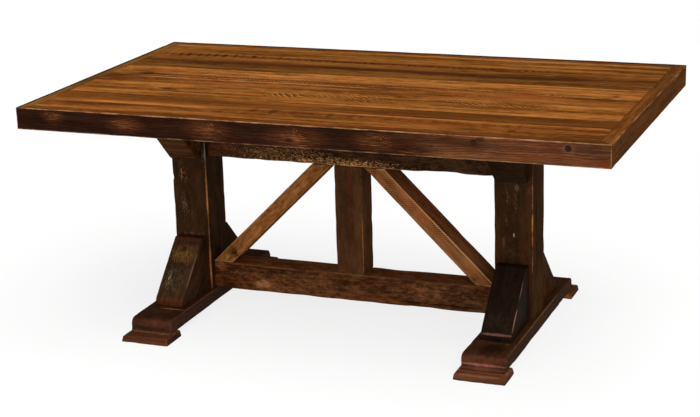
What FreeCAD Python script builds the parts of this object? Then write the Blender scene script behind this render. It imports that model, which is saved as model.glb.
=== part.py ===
import FreeCAD, Part
import math
import os
import Sketcher

# Trestle dining table in reclaimed timber, in millimetres.
# Origin: on the floor under the middle of the top. X is the length of the top,
# Y runs from the front edge to the rear edge, Z is up.
# Every piece is a separate solid that meets its neighbours face to face.

SIZES = [
    # the top: a mitred frame of edge boards round a field of planks
    ("top_length", 1829),
    ("top_width", 1054),
    ("top_height", 762),
    ("edge_thickness", 38),
    ("edge_depth", 68),
    ("plank_thickness", 25),
    ("plank_1_width", 134),
    ("plank_2_width", 85),
    ("plank_3_width", 166),
    ("plank_4_width", 99),
    ("plank_5_width", 133),
    ("plank_6_width", 140),
    ("plank_7_width", 110),
    ("plank_8_width", 111),
    # crosspieces under the planks
    ("bolster_width", 122),
    ("centre_batten_width", 89),
    ("end_batten_width", 45),
    # the two pedestals
    ("left_overhang", 335.5),
    ("right_overhang", 403.5),
    ("post_length", 122),
    ("post_width", 130),
    ("pad_height", 21),
    ("pad_length", 161),
    ("pad_reach", 438),
    ("pad_run", 100),
    ("runner_length", 139),
    ("runner_height", 43),
    ("runner_reach", 400),
    ("runner_shoulder", 24),
    ("runner_cove", 12),
    ("runner_lip", 3),
    ("brace_length", 97),
    ("brace_reach", 195),
    ("brace_ledge", 32),
    ("brace_nose", 20),
    ("brace_angle", 45),
    # the truss between the pedestals
    ("truss_width", 89),
    ("stretcher_height", 91),
    ("rail_height", 184),
    ("king_length", 92),
    ("diagonal_inset", 9),
    ("diagonal_thickness", 47),
    # stub tenons and dowels
    ("tenon_depth", 40),
    ("tenon_width", 38),
    ("tenon_shoulder", 15),
    ("king_tenon_depth", 25),
    ("joint_clearance", 0.5),
    ("dowel_radius", 6),
    ("dowel_depth", 25),
    # wood bungs over sunk screws
    ("edge_bung_radius", 9.5),
    ("edge_bung_drop", 18),
    ("edge_bung_margin", 118),
    ("edge_bung_count", 7),
    ("brace_bung_radius", 11),
    ("upper_bung_rise", 45),
    ("bung_length", 10),
    ("bung_clearance", 0.2),
    # screws
    ("screw_head_radius", 5),
    ("screw_head_height", 4),
    ("screw_radius", 2.5),
    ("screw_clearance", 0.3),
    ("edge_screw_length", 60),
    ("brace_screw_head_radius", 7),
    ("brace_screw_radius", 4),
    ("brace_screw_length", 95),
    ("brace_screw_bite", 17.3),
    ("batten_screw_length", 50),
    ("batten_screw_sink", 8),
    ("batten_screw_offset", 15),
    # bolts up through the runners into the posts
    ("bolt_head_radius", 13),
    ("bolt_head_height", 8),
    ("bolt_radius", 6),
    ("bolt_length", 120),
    ("bolt_spacing", 56),
    ("bolt_sink", 12),
]

TOUCHING = 1e-6
PLANK_COUNT = sum(alias.startswith("plank_") and alias.endswith("_width") for alias, _ in SIZES)

doc = FreeCAD.newDocument("trestle_table")
sheet = doc.addObject("Spreadsheet::Sheet", "sizes")
for row, (alias, number) in enumerate(SIZES, start=1):
    sheet.set(f"A{row}", alias)
    sheet.set(f"B{row}", str(number))
    sheet.setAlias(f"B{row}", alias)
doc.recompute()


class Size:
    """A length that is both a number and the expression that gives it."""

    def __init__(self, number, text):
        self.number = float(number)
        self.text = text

    def joined(self, other, sign, number):
        other = as_size(other)
        return Size(number(self.number, other.number), f"({self.text} {sign} {other.text})")

    def __add__(self, other):
        return self.joined(other, "+", lambda a, b: a + b)

    def __sub__(self, other):
        return self.joined(other, "-", lambda a, b: a - b)

    def __mul__(self, other):
        return self.joined(other, "*", lambda a, b: a * b)

    def __truediv__(self, other):
        return self.joined(other, "/", lambda a, b: a / b)

    def __neg__(self):
        return Size(-self.number, f"(0 - {self.text})")


def as_size(value):
    return value if isinstance(value, Size) else Size(value, str(value))


def size(alias):
    return Size(getattr(sheet, alias), f"sizes.{alias}")


def tangent(angle):
    return Size(math.tan(math.radians(angle.number)), f"tan({angle.text} * 1 deg)")


def sine(angle):
    return Size(math.sin(math.radians(angle.number)), f"sin({angle.text} * 1 deg)")


def cosine(angle):
    return Size(math.cos(math.radians(angle.number)), f"cos({angle.text} * 1 deg)")


def root(value):
    return Size(math.sqrt(value.number), f"sqrt({value.text})")


# Derived places and lengths ------------------------------------------------

half_length = size("top_length") / 2
half_width = size("top_width") / 2
field_half_length = half_length - size("edge_thickness")
field_half_width = half_width - size("edge_thickness")
plank_underside = size("top_height") - size("plank_thickness")
apron_underside = size("top_height") - size("edge_depth")
batten_height = size("edge_depth") - size("plank_thickness")

runner_top = size("pad_height") + size("runner_height")
post_height = apron_underside - runner_top
half_post_length = size("post_length") / 2
half_post_width = size("post_width") / 2
left_pedestal = size("left_overhang") - half_length
right_pedestal = half_length - size("right_overhang")
base_middle = (left_pedestal + right_pedestal) / 2

half_span = (right_pedestal - left_pedestal) / 2 - half_post_length
stretcher_top = runner_top + size("stretcher_height")
rail_underside = apron_underside - size("rail_height")
king_height = rail_underside - stretcher_top

screw_hole = size("screw_radius") + size("screw_clearance")
brace_screw_hole = size("brace_screw_radius") + size("screw_clearance")
bolt_hole = size("bolt_radius") + size("screw_clearance")
edge_bung_hole = size("edge_bung_radius") + size("bung_clearance")
brace_bung_hole = size("brace_bung_radius") + size("bung_clearance")
dowel_hole = size("dowel_radius") + size("screw_clearance")

edge_screw_entry = size("edge_screw_length") + size("bung_length") - size("edge_thickness")
edge_screw_height = size("plank_thickness") - size("edge_bung_drop")
batten_screw_entry = size("batten_screw_length") + size("batten_screw_sink") - batten_height
bolt_entry = size("bolt_length") + size("bolt_sink") - size("runner_height")
bolt_rows = [-(size("bolt_spacing") / 2), size("bolt_spacing") / 2]

tan_brace = tangent(size("brace_angle"))
brace_rise = size("brace_nose") + (size("brace_reach") - size("brace_ledge")) * tan_brace
brace_hole_depth = size("brace_screw_length") + size("bung_length")
brace_hole_tilt = Size(180, "180") - size("brace_angle")
# the lower bungs stand where their screws bite that far into the post
lower_bung_reach = (brace_hole_depth - size("brace_screw_bite")) * sine(size("brace_angle"))
lower_bung_rise = size("brace_nose") + (size("brace_reach") - lower_bung_reach) * tan_brace


def slope_reach(rise):
    """How far from the post the brace's slope stands at a height above its toe."""
    return size("brace_reach") - (rise - size("brace_nose")) / tan_brace


bodies = []


# PartDesign helpers --------------------------------------------------------

def bind_place(obj, place, turn=(0, 0, 1, 0)):
    """Turn an object about an axis, then hold its base point to the sheet."""
    axis = FreeCAD.Vector(*turn[:3])
    obj.Placement = FreeCAD.Placement(FreeCAD.Vector(), FreeCAD.Rotation(axis, turn[3]))
    for letter, value in zip("xyz", place):
        obj.setExpression(f"Placement.Base.{letter}", as_size(value).text)


def new_body(label, place, turn=(0, 0, 1, 0)):
    body = doc.addObject("PartDesign::Body", label)
    body.Label = label
    bind_place(body, place, turn)
    bodies.append(body)
    return body


def new_sketch(body, plane, height=0):
    """A sketch on one of the body's own origin planes, raised along its normal."""
    sketch = body.newObject("Sketcher::SketchObject", f"{body.Name}_sketch")
    support = [item for item in body.Origin.OriginFeatures if item.Role == plane][0]
    sketch.AttachmentSupport = [(support, "")]
    sketch.MapMode = "FlatFace"
    sketch.setExpression("AttachmentOffset.Base.z", as_size(height).text)
    return sketch


def constrain(sketch, kind, geometry, point, value):
    """Hold one coordinate of a sketch point, or a radius, to a size."""
    value = as_size(value)
    place = [geometry] if point is None else [geometry, point]
    index = sketch.addConstraint(Sketcher.Constraint(kind, *place, value.number))
    sketch.setExpression(f"Constraints[{index}]", value.text)


def draw_outline(sketch, corners, radii=None):
    """A closed outline. Each corner is (x, y); radii maps a side's number to an
    arc as (radius, turns_left), and every other side is straight."""
    radii = radii or {}
    corners = [(as_size(x), as_size(y)) for x, y in corners]
    points = [FreeCAD.Vector(x.number, y.number, 0) for x, y in corners]
    count = len(points)
    for side, start in enumerate(points):
        finish = points[(side + 1) % count]
        if side in radii:
            radius, turns_left = radii[side]
            sketch.addGeometry(quarter_arc(start, finish, as_size(radius).number, turns_left))
        else:
            sketch.addGeometry(Part.LineSegment(start, finish))
    for side in range(count):
        after = (side + 1) % count
        end_point = 2 if side not in radii or radii[side][1] else 1
        start_point = 1 if after not in radii or radii[after][1] else 2
        sketch.addConstraint(Sketcher.Constraint("Coincident", side, end_point, after, start_point))
        x, y = corners[after]
        constrain(sketch, "DistanceX", after, start_point, x)
        constrain(sketch, "DistanceY", after, start_point, y)
    for side, (radius, _) in radii.items():
        constrain(sketch, "Radius", side, None, radius)


def quarter_arc(start, finish, radius, turns_left):
    """The short arc between two points, centred to the left or the right."""
    chord = finish - start
    normal = FreeCAD.Vector(-chord.y, chord.x, 0).normalize()
    rise = math.sqrt(max(radius ** 2 - chord.Length ** 2 / 4, 0))
    centre = (start + finish) / 2 + normal * (rise if turns_left else -rise)
    circle = Part.Circle(centre, FreeCAD.Vector(0, 0, 1), radius)
    ends = (start, finish) if turns_left else (finish, start)
    return Part.ArcOfCircle(circle, circle.parameter(ends[0]), circle.parameter(ends[1]))


def draw_rectangle(sketch, low, high):
    draw_outline(sketch, [low, (high[0], low[1]), high, (low[0], high[1])])


def draw_circles(sketch, centres, radius):
    for x, y in centres:
        x, y, radius = as_size(x), as_size(y), as_size(radius)
        centre = FreeCAD.Vector(x.number, y.number, 0)
        ring = sketch.addGeometry(Part.Circle(centre, FreeCAD.Vector(0, 0, 1), radius.number))
        constrain(sketch, "DistanceX", ring, 3, x)
        constrain(sketch, "DistanceY", ring, 3, y)
        constrain(sketch, "Radius", ring, None, radius)


def pad(body, sketch, length, symmetric=False):
    feature = body.newObject("PartDesign::Pad", f"{body.Name}_pad")
    feature.Profile = sketch
    feature.setExpression("Length", as_size(length).text)
    feature.SideType = "Symmetric" if symmetric else "One side"
    doc.recompute()
    return feature


def pocket(body, sketch, depth, with_normal=False):
    """Cut a sketch into the body, and check that material was removed."""
    before = body.Shape.Volume
    feature = body.newObject("PartDesign::Pocket", f"{body.Name}_pocket")
    feature.Profile = sketch
    feature.setExpression("Length", as_size(depth).text)
    feature.Reversed = with_normal
    doc.recompute()
    if not body.Shape.Volume < before:
        raise ValueError(f"{feature.Name} removes nothing")
    return feature


def slanted_hole(body, place, side, tilt, radius, depth):
    """A round hole in the body's YZ plane, its line tilted from +Z towards the
    middle: side is 1 behind the middle and -1 in front of it."""
    before = body.Shape.Volume
    feature = body.newObject("PartDesign::SubtractiveCylinder", f"{body.Name}_hole")
    support = [item for item in body.Origin.OriginFeatures if item.Role == "XY_Plane"][0]
    feature.AttachmentSupport = [(support, "")]
    feature.MapMode = "FlatFace"
    turn = FreeCAD.Rotation(FreeCAD.Vector(side, 0, 0), tilt.number)
    feature.AttachmentOffset = FreeCAD.Placement(FreeCAD.Vector(), turn)
    feature.setExpression("AttachmentOffset.Rotation.Angle", f"{tilt.text} * 1 deg")
    for letter, value in zip("xyz", place):
        feature.setExpression(f"AttachmentOffset.Base.{letter}", as_size(value).text)
    feature.setExpression("Radius", as_size(radius).text)
    feature.setExpression("Height", as_size(depth).text)
    doc.recompute()
    if not body.Shape.Volume < before:
        raise ValueError(f"{feature.Name} removes nothing")


def timber(label, place, low, high, height):
    """A squared timber: a rectangle in plan, padded upwards from its underside."""
    body = new_body(label, place)
    sketch = new_sketch(body, "XY_Plane")
    draw_rectangle(sketch, low, high)
    pad(body, sketch, height)
    return body


# The top: planks ------------------------------------------------------------

def plank_widths():
    """The planks' widths, each trimmed alike so that together they fill the field."""
    widths = [size(f"plank_{number}_width") for number in range(1, PLANK_COUNT + 1)]
    spare = field_half_width * 2
    for width in widths:
        spare = spare - width
    return [width + spare / PLANK_COUNT for width in widths]


def crosspieces():
    """Name, middle and width of each crosspiece under the planks, left to right."""
    end_middle = field_half_length - size("end_batten_width") / 2
    return [
        ("left_end_batten", -end_middle, size("end_batten_width")),
        ("left_bolster", left_pedestal, size("bolster_width")),
        ("centre_batten", base_middle, size("centre_batten_width")),
        ("right_bolster", right_pedestal, size("bolster_width")),
        ("right_end_batten", end_middle, size("end_batten_width")),
    ]


def batten_screw_lines():
    """The screws stand beside the middle line, clear of the brace screws."""
    return [middle + size("batten_screw_offset") for _, middle, _ in crosspieces()]


def edge_bung_places():
    """Middles of the bungs along each long edge board."""
    margin = size("edge_bung_margin")
    gaps = size("edge_bung_count") - 1
    spacing = (size("top_length") - margin * 2) / gaps
    return [-half_length + margin + spacing * step for step in range(int(gaps.number) + 1)]


def plank_middles():
    front = -field_half_width
    middles = []
    for width in plank_widths():
        middles.append(front + width / 2)
        front = front + width
    return middles


def make_planks():
    middles = plank_middles()
    for number, (middle, width) in enumerate(zip(middles, plank_widths()), start=1):
        low = (-field_half_length, -width / 2)
        high = (field_half_length, width / 2)
        body = timber(f"field_plank_{number}", (0, middle, plank_underside), low, high,
                      size("plank_thickness"))
        pilots = new_sketch(body, "XY_Plane")
        draw_circles(pilots, [(x, 0) for x in batten_screw_lines()], screw_hole)
        pocket(body, pilots, batten_screw_entry, with_normal=True)
        if number == 1:
            bore_plank_edge(body, width / 2, with_normal=False)
        if number == len(middles):
            bore_plank_edge(body, -(width / 2), with_normal=True)


def bore_plank_edge(body, offset, with_normal):
    """Pilot holes for the edge boards' screws in a plank's outer edge."""
    pilots = new_sketch(body, "XZ_Plane", offset)
    draw_circles(pilots, [(x, edge_screw_height) for x in edge_bung_places()], screw_hole)
    pocket(body, pilots, edge_screw_entry, with_normal)


# The top: mitred edge boards ------------------------------------------------

def edge_board(label, place, half_outer, turn):
    """A board on edge with mitred ends, its outer face on the line y = 0."""
    body = new_body(label, place, turn)
    sketch = new_sketch(body, "XY_Plane")
    thickness = size("edge_thickness")
    half_inner = half_outer - thickness
    draw_outline(sketch, [(-half_outer, 0), (half_outer, 0),
                          (half_inner, thickness), (-half_inner, thickness)])
    pad(body, sketch, size("edge_depth"))
    return body


def make_edge_boards():
    for label, side, angle in (("front_edge_board", -half_width, 0),
                               ("rear_edge_board", half_width, 180)):
        body = edge_board(label, (0, side, apron_underside), half_length, (0, 0, 1, angle))
        height = size("edge_depth") - size("edge_bung_drop")
        places = [(x, height) for x in edge_bung_places()]
        through = new_sketch(body, "XZ_Plane")
        draw_circles(through, places, screw_hole)
        pocket(body, through, size("edge_thickness"))
        sunk = new_sketch(body, "XZ_Plane")
        draw_circles(sunk, places, edge_bung_hole)
        pocket(body, sunk, size("bung_length") + size("screw_head_height"))
    for label, side, angle in (("left_end_board", -half_length, 270),
                               ("right_end_board", half_length, 90)):
        edge_board(label, (side, 0, apron_underside), half_width, (0, 0, 1, angle))


def make_crosspieces():
    """Battens and bolsters, screwed up into every plank from below."""
    for label, middle, width in crosspieces():
        low = (-width / 2, -field_half_width)
        high = (width / 2, field_half_width)
        body = timber(label, (middle, 0, apron_underside), low, high, batten_height)
        places = [(size("batten_screw_offset"), y) for y in plank_middles()]
        through = new_sketch(body, "XY_Plane")
        draw_circles(through, places, screw_hole)
        pocket(body, through, batten_height, with_normal=True)
        sunk = new_sketch(body, "XY_Plane")
        draw_circles(sunk, places, size("screw_head_radius") + size("screw_clearance"))
        pocket(body, sunk, size("batten_screw_sink") + size("screw_head_height"), with_normal=True)
        if label.endswith("bolster"):
            for side in (-1, 1):
                rise = size("upper_bung_rise")
                place = (0, (half_post_width + slope_reach(rise)) * side, -rise)
                slanted_hole(body, place, side, size("brace_angle"), brace_screw_hole,
                             brace_hole_depth)


# The pedestals --------------------------------------------------------------

def brace(label, place, turn, bung_rise):
    """A knee brace: toe at z = 0, post face at y = 0, slope facing outwards."""
    body = new_body(label, place, turn)
    profile = new_sketch(body, "YZ_Plane")
    draw_outline(profile, [(0, 0), (size("brace_reach"), 0),
                           (size("brace_reach"), size("brace_nose")),
                           (size("brace_ledge"), brace_rise), (0, brace_rise)])
    pad(body, profile, size("brace_length"), symmetric=True)
    place = (0, slope_reach(bung_rise), bung_rise)
    head_depth = size("bung_length") + size("screw_head_height")
    head_hole = size("brace_screw_head_radius") + size("screw_clearance")
    for radius, depth in ((brace_bung_hole, size("bung_length")), (head_hole, head_depth),
                          (brace_screw_hole, brace_hole_depth)):
        slanted_hole(body, place, 1, brace_hole_tilt, radius, depth)


def pedestal(side, middle):
    low = (-half_post_length, -half_post_width)
    high = (half_post_length, half_post_width)
    post = timber(f"{side}_post", (middle, 0, runner_top), low, high, post_height)
    mortise_post(post, inner_sign=1 if side == "left" else -1)
    make_runner(side, middle)
    for end, sign in (("front", -1), ("rear", 1)):
        make_pad(f"{side}_{end}_pad", middle, sign)
        face = half_post_width * sign
        turn = (0, 0, 1, 0) if sign > 0 else (0, 0, 1, 180)
        brace(f"{side}_{end}_lower_brace", (middle, face, runner_top), turn,
              lower_bung_rise)
        turn = (0, 1, 0, 180) if sign > 0 else (1, 0, 0, 180)
        brace(f"{side}_{end}_upper_brace", (middle, face, apron_underside), turn,
              size("upper_bung_rise"))


def mortise_post(post, inner_sign):
    """Mortises for the two rails, and pilot holes for brace screws and bolts."""
    loose = size("joint_clearance")
    half_tenon = size("tenon_width") / 2 + loose
    inset = size("tenon_shoulder") - loose
    sketch = new_sketch(post, "YZ_Plane", half_post_length * inner_sign)
    draw_rectangle(sketch, (-half_tenon, inset), (half_tenon, size("stretcher_height") - inset))
    pocket(post, sketch, size("tenon_depth") + loose, with_normal=inner_sign < 0)
    sketch = new_sketch(post, "YZ_Plane", half_post_length * inner_sign)
    rail_foot = post_height - size("rail_height")
    draw_rectangle(sketch, (-half_tenon, rail_foot + inset), (half_tenon, post_height - inset))
    pocket(post, sketch, size("tenon_depth") + loose, with_normal=inner_sign < 0)
    rise = lower_bung_rise
    for side in (-1, 1):
        place = (0, (half_post_width + slope_reach(rise)) * side, rise)
        slanted_hole(post, place, side, brace_hole_tilt, brace_screw_hole, brace_hole_depth)
    bolts = new_sketch(post, "XY_Plane")
    draw_circles(bolts, [(0, y) for y in bolt_rows], bolt_hole)
    pocket(post, bolts, bolt_entry, with_normal=True)


def make_runner(side, middle):
    """The foot runner, with an ogee at each end: a shoulder, a cove and a lip."""
    body = new_body(f"{side}_foot_runner", (middle, 0, size("pad_height")))
    profile = new_sketch(body, "YZ_Plane")
    reach = size("runner_reach")
    top = size("runner_height")
    lip = size("runner_lip")
    nose = reach - size("runner_cove")
    shoulder = nose - size("runner_shoulder")
    cove_top = lip + size("runner_cove")
    shoulder_foot = top - size("runner_shoulder")
    right = [(reach, 0), (reach, lip), (nose, cove_top), (nose, shoulder_foot), (shoulder, top)]
    left = [(-y, z) for y, z in reversed(right)]
    arcs = {1: (size("runner_cove"), False), 3: (size("runner_shoulder"), True),
            5: (size("runner_shoulder"), True), 7: (size("runner_cove"), False)}
    draw_outline(profile, right + left, arcs)
    pad(body, profile, size("runner_length"), symmetric=True)
    places = [(0, y) for y in bolt_rows]
    through = new_sketch(body, "XY_Plane")
    draw_circles(through, places, bolt_hole)
    pocket(body, through, top, with_normal=True)
    sunk = new_sketch(body, "XY_Plane")
    draw_circles(sunk, places, size("bolt_head_radius") + size("screw_clearance"))
    pocket(body, sunk, size("bolt_head_height") + size("bolt_sink"), with_normal=True)


def make_pad(label, middle, sign):
    """A floor pad, its proud upper edges rounded back to the runner's sides."""
    turn = (0, 0, 1, 0) if sign > 0 else (0, 0, 1, 180)
    body = new_body(label, (middle, (size("pad_reach") - size("pad_run")) * sign, 0), turn)
    sketch = new_sketch(body, "XY_Plane")
    half = size("pad_length") / 2
    draw_rectangle(sketch, (-half, 0), (half, size("pad_run")))
    block = pad(body, sketch, size("pad_height"))
    top = size("pad_height").number
    rounded = []
    for index, edge in enumerate(block.Shape.Edges, start=1):
        at_top = abs(edge.CenterOfMass.z - top) < TOUCHING
        if at_top and edge.CenterOfMass.y > TOUCHING:
            rounded.append(f"Edge{index}")
    fillet = body.newObject("PartDesign::Fillet", f"{label}_fillet")
    fillet.Base = (block, rounded)
    proud = (size("pad_length") - size("runner_length")) / 2
    fillet.setExpression("Radius", proud.text)
    doc.recompute()


# The truss ------------------------------------------------------------------

def tenoned_rail(label, height, underside):
    """A timber between the posts with a stub tenon at each end."""
    body = new_body(label, (base_middle, 0, underside))
    half_truss = size("truss_width") / 2
    sketch = new_sketch(body, "YZ_Plane")
    draw_rectangle(sketch, (-half_truss, 0), (half_truss, height))
    pad(body, sketch, half_span * 2, symmetric=True)
    core = new_sketch(body, "YZ_Plane")
    half_tenon = size("tenon_width") / 2
    inset = size("tenon_shoulder")
    draw_rectangle(core, (-half_tenon, inset), (half_tenon, height - inset))
    pad(body, core, (half_span + size("tenon_depth")) * 2, symmetric=True)
    return body


def diagonal_shape():
    """Where the diagonal's top starts beside the king post, and its plan width.
    The width w satisfies w * rise = thickness * root((run - w)^2 + rise^2)."""
    top_inner = size("king_length") / 2 + size("diagonal_inset")
    run = half_span - top_inner
    thick = size("diagonal_thickness")
    square = king_height * king_height - thick * thick
    slope = root(run * run + square)
    return top_inner, thick * (king_height * slope - thick * run) / square


def make_truss():
    loose = size("joint_clearance")
    half_king_tenon = size("tenon_width") / 2 + loose
    stretcher = tenoned_rail("stretcher", size("stretcher_height"), runner_top)
    rail = tenoned_rail("top_rail", size("rail_height"), rail_underside)
    for body, plane_height, cut_up in ((stretcher, size("stretcher_height"), False),
                                       (rail, Size(0, "0"), True)):
        mortise = new_sketch(body, "XY_Plane", plane_height)
        draw_rectangle(mortise, (-half_king_tenon, -half_king_tenon),
                       (half_king_tenon, half_king_tenon))
        pocket(body, mortise, size("king_tenon_depth") + loose, with_normal=cut_up)

    king = new_body("king_post", (base_middle, 0, stretcher_top))
    half_king = size("king_length") / 2
    half_truss = size("truss_width") / 2
    sketch = new_sketch(king, "XY_Plane")
    draw_rectangle(sketch, (-half_king, -half_truss), (half_king, half_truss))
    pad(king, sketch, king_height)
    core = new_sketch(king, "XY_Plane", -size("king_tenon_depth"))
    half_core = size("tenon_width") / 2
    draw_rectangle(core, (-half_core, -half_core), (half_core, half_core))
    pad(king, core, king_height + size("king_tenon_depth") * 2)

    top_inner, width = diagonal_shape()
    foot_middle, top_middle = dowel_places(top_inner, width)
    for side, sign in (("left", -1), ("right", 1)):
        diagonal = new_body(f"{side}_diagonal", (base_middle, 0, stretcher_top))
        profile = new_sketch(diagonal, "XZ_Plane")
        draw_outline(profile, [(half_span * sign, 0), ((top_inner + width) * sign, king_height),
                               (top_inner * sign, king_height), ((half_span - width) * sign, 0)])
        pad(diagonal, profile, size("truss_width"), symmetric=True)
        for plane_height, x, cut_up in ((Size(0, "0"), foot_middle, True),
                                        (king_height, top_middle, False)):
            hole = new_sketch(diagonal, "XY_Plane", plane_height)
            draw_circles(hole, [(x * sign, 0)], dowel_hole)
            pocket(diagonal, hole, size("dowel_depth") + loose, with_normal=cut_up)
    for body, plane_height, x, cut_up in ((stretcher, size("stretcher_height"), foot_middle, False),
                                          (rail, Size(0, "0"), top_middle, True)):
        holes = new_sketch(body, "XY_Plane", plane_height)
        draw_circles(holes, [(-x, 0), (x, 0)], dowel_hole)
        pocket(body, holes, size("dowel_depth") + loose, with_normal=cut_up)


def dowel_places(top_inner, width):
    """Dowel lines: the middle of the diagonal's slanted end at half their depth."""
    slope_run = half_span - width - top_inner
    shift = size("dowel_depth") / 2 * slope_run / king_height
    return half_span - width / 2 - shift, top_inner + width / 2 + shift


# Fasteners: groups of identical separate solids ------------------------------

def add_group(label, solid, placements):
    """One node of identical loose solids, each with its own placement."""
    copies = []
    for placement in placements:
        copy = solid.copy()
        copy.Placement = placement
        copies.append(copy)
    group = doc.addObject("Part::Feature", label)
    group.Label = label
    group.Shape = Part.makeCompound(copies)
    group.Placement = FreeCAD.Placement()
    bodies.append(group)


def aimed(point, direction):
    """A placement that turns +Z to the direction and moves the origin to the point."""
    turn = FreeCAD.Rotation(FreeCAD.Vector(0, 0, 1), FreeCAD.Vector(*direction))
    return FreeCAD.Placement(FreeCAD.Vector(*point), turn)


def screw_solid(head_radius, head_height, shank_radius, length):
    """A headed screw along +Z: flat head at z = 0, plain shank, pointed tip."""
    tip = length - 2 * shank_radius
    rim = head_height / 2
    outline = [(0, 0), (head_radius, 0), (head_radius, rim),
               (shank_radius, head_height), (shank_radius, tip), (0, length), (0, 0)]
    wire = Part.makePolygon([FreeCAD.Vector(r, 0, z) for r, z in outline])
    return Part.Face(wire).revolve(FreeCAD.Vector(), FreeCAD.Vector(0, 0, 1), 360)


def make_edge_fasteners():
    depth = size("bung_length").number
    bung = Part.makeCylinder(size("edge_bung_radius").number, depth)
    screw = screw_solid(size("screw_head_radius").number, size("screw_head_height").number,
                        size("screw_radius").number, size("edge_screw_length").number)
    z = (size("top_height") - size("edge_bung_drop")).number
    faces = [(-half_width.number, 1), (half_width.number, -1)]
    ends = [(x.number, y, z, inward) for y, inward in faces for x in edge_bung_places()]
    add_group("edge_board_bungs", bung,
              [aimed((x, y, z), (0, inward, 0)) for x, y, z, inward in ends])
    add_group("edge_board_screws", screw,
              [aimed((x, y + depth * inward, z), (0, inward, 0)) for x, y, z, inward in ends])


def make_brace_fasteners():
    depth = size("bung_length").number
    bung = Part.makeCylinder(size("brace_bung_radius").number, depth)
    screw = screw_solid(size("brace_screw_head_radius").number, size("screw_head_height").number,
                        size("brace_screw_radius").number, size("brace_screw_length").number)
    inward = -sine(size("brace_angle")).number
    along = cosine(size("brace_angle")).number
    bungs, screws = [], []
    for middle in (left_pedestal, right_pedestal):
        for sign in (-1, 1):
            for rise, base, up in ((lower_bung_rise, runner_top, 1),
                                   (size("upper_bung_rise"), apron_underside, -1)):
                reach = (half_post_width + slope_reach(rise)).number
                start = FreeCAD.Vector(middle.number, reach * sign, base.number + rise.number * up)
                line = FreeCAD.Vector(0, inward * sign, -along * up)
                bungs.append(aimed(start, line))
                screws.append(aimed(start + line * depth, line))
    add_group("brace_bungs", bung, bungs)
    add_group("brace_screws", screw, screws)


def make_hidden_fasteners():
    screw = screw_solid(size("screw_head_radius").number, size("screw_head_height").number,
                        size("screw_radius").number, size("batten_screw_length").number)
    low = (apron_underside + size("batten_screw_sink")).number
    add_group("batten_screws", screw,
              [aimed((x.number, y.number, low), (0, 0, 1))
               for x in batten_screw_lines() for y in plank_middles()])
    bolt = screw_solid(size("bolt_head_radius").number, size("bolt_head_height").number,
                       size("bolt_radius").number, size("bolt_length").number)
    low = (size("pad_height") + size("bolt_sink")).number
    add_group("runner_bolts", bolt,
              [aimed((x.number, y.number, low), (0, 0, 1))
               for x in (left_pedestal, right_pedestal) for y in bolt_rows])
    dowel = Part.makeCylinder(size("dowel_radius").number, size("dowel_depth").number * 2)
    top_inner, width = diagonal_shape()
    foot_middle, top_middle = dowel_places(top_inner, width)
    places = [(foot_middle, stretcher_top), (top_middle, rail_underside)]
    add_group("diagonal_dowels", dowel,
              [aimed(((base_middle + x * sign).number, 0, (z - size("dowel_depth")).number),
                     (0, 0, 1))
               for x, z in places for sign in (-1, 1)])


make_planks()
make_edge_boards()
make_crosspieces()
pedestal("left", left_pedestal)
pedestal("right", right_pedestal)
make_truss()
make_edge_fasteners()
make_brace_fasteners()
make_hidden_fasteners()
doc.recompute()

failed = [item.Name for item in doc.Objects if {"Invalid", "Error"} & set(item.State)]
if failed:
    raise ValueError(f"failed objects: {failed}")
for body in bodies:
    if body.Shape.isNull() or not body.Shape.isValid():
        raise ValueError(f"bad shape: {body.Label}")

os.makedirs("parts", exist_ok=True)
for body in bodies:
    body.Shape.exportStep(os.path.join("parts", f"{body.Label}.step"))
    print(f"{body.Label}: {len(body.Shape.Solids)} solids, {body.Shape.Volume / 1000:.1f} cm3")
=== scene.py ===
"""A trestle dining table of worn timber, dressed on the frame of its CAD model."""
import math
from itertools import product

import bpy
import numpy as np
from mathutils import Matrix, Vector


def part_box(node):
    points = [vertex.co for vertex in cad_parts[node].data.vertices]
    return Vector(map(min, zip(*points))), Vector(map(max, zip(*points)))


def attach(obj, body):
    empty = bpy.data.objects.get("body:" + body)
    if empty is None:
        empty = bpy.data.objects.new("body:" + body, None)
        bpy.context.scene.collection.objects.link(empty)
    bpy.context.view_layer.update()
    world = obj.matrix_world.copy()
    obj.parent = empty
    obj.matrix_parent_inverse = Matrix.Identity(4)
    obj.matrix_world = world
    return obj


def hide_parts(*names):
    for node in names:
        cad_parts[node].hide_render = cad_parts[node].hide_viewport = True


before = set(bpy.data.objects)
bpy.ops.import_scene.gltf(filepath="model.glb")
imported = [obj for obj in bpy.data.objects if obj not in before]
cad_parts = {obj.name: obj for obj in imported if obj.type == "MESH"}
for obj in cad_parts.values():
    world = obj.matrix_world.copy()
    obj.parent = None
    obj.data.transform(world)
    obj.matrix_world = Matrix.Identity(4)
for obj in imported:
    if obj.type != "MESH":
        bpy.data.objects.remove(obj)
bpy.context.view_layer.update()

MM = 0.001
HALF_WIDTH, TOP = 527, 762  # half the width and the height of the top, in millimetres
WHOLE = 9000                # a size that takes in the whole of a timber

# Shapes -----------------------------------------------------------------------

ARC_STEPS = 4
SHARP_RADIUS = 0.009        # corners rounder than this are forms, not arrises
ARRIS_REACH = 0.0028        # how far from an arris its wear fades out
CAP_SCALE = 0.8             # the inner ring of an end face, towards its middle
CAP_RING = 0.0045           # how far inside the edges that ring lies, where it can
FINE_RUN = 2.5              # how many margins the closer rows near an arris reach inwards
MOST_MARGIN = 0.004         # on a long run, the first row is no further than this from its end
SHORT_RUN = 0.2             # a straight run shorter than this many steps gets no rows
CROWN_START, CROWN_RISE = 0.45, 5
WAVES = 9


def unit(vector):
    return vector / np.linalg.norm(vector)


def turned(vector, angle):
    """A plane vector turned anticlockwise."""
    cosine, sine = math.cos(angle), math.sin(angle)
    return np.array((vector[0] * cosine - vector[1] * sine,
                     vector[0] * sine + vector[1] * cosine))


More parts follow.
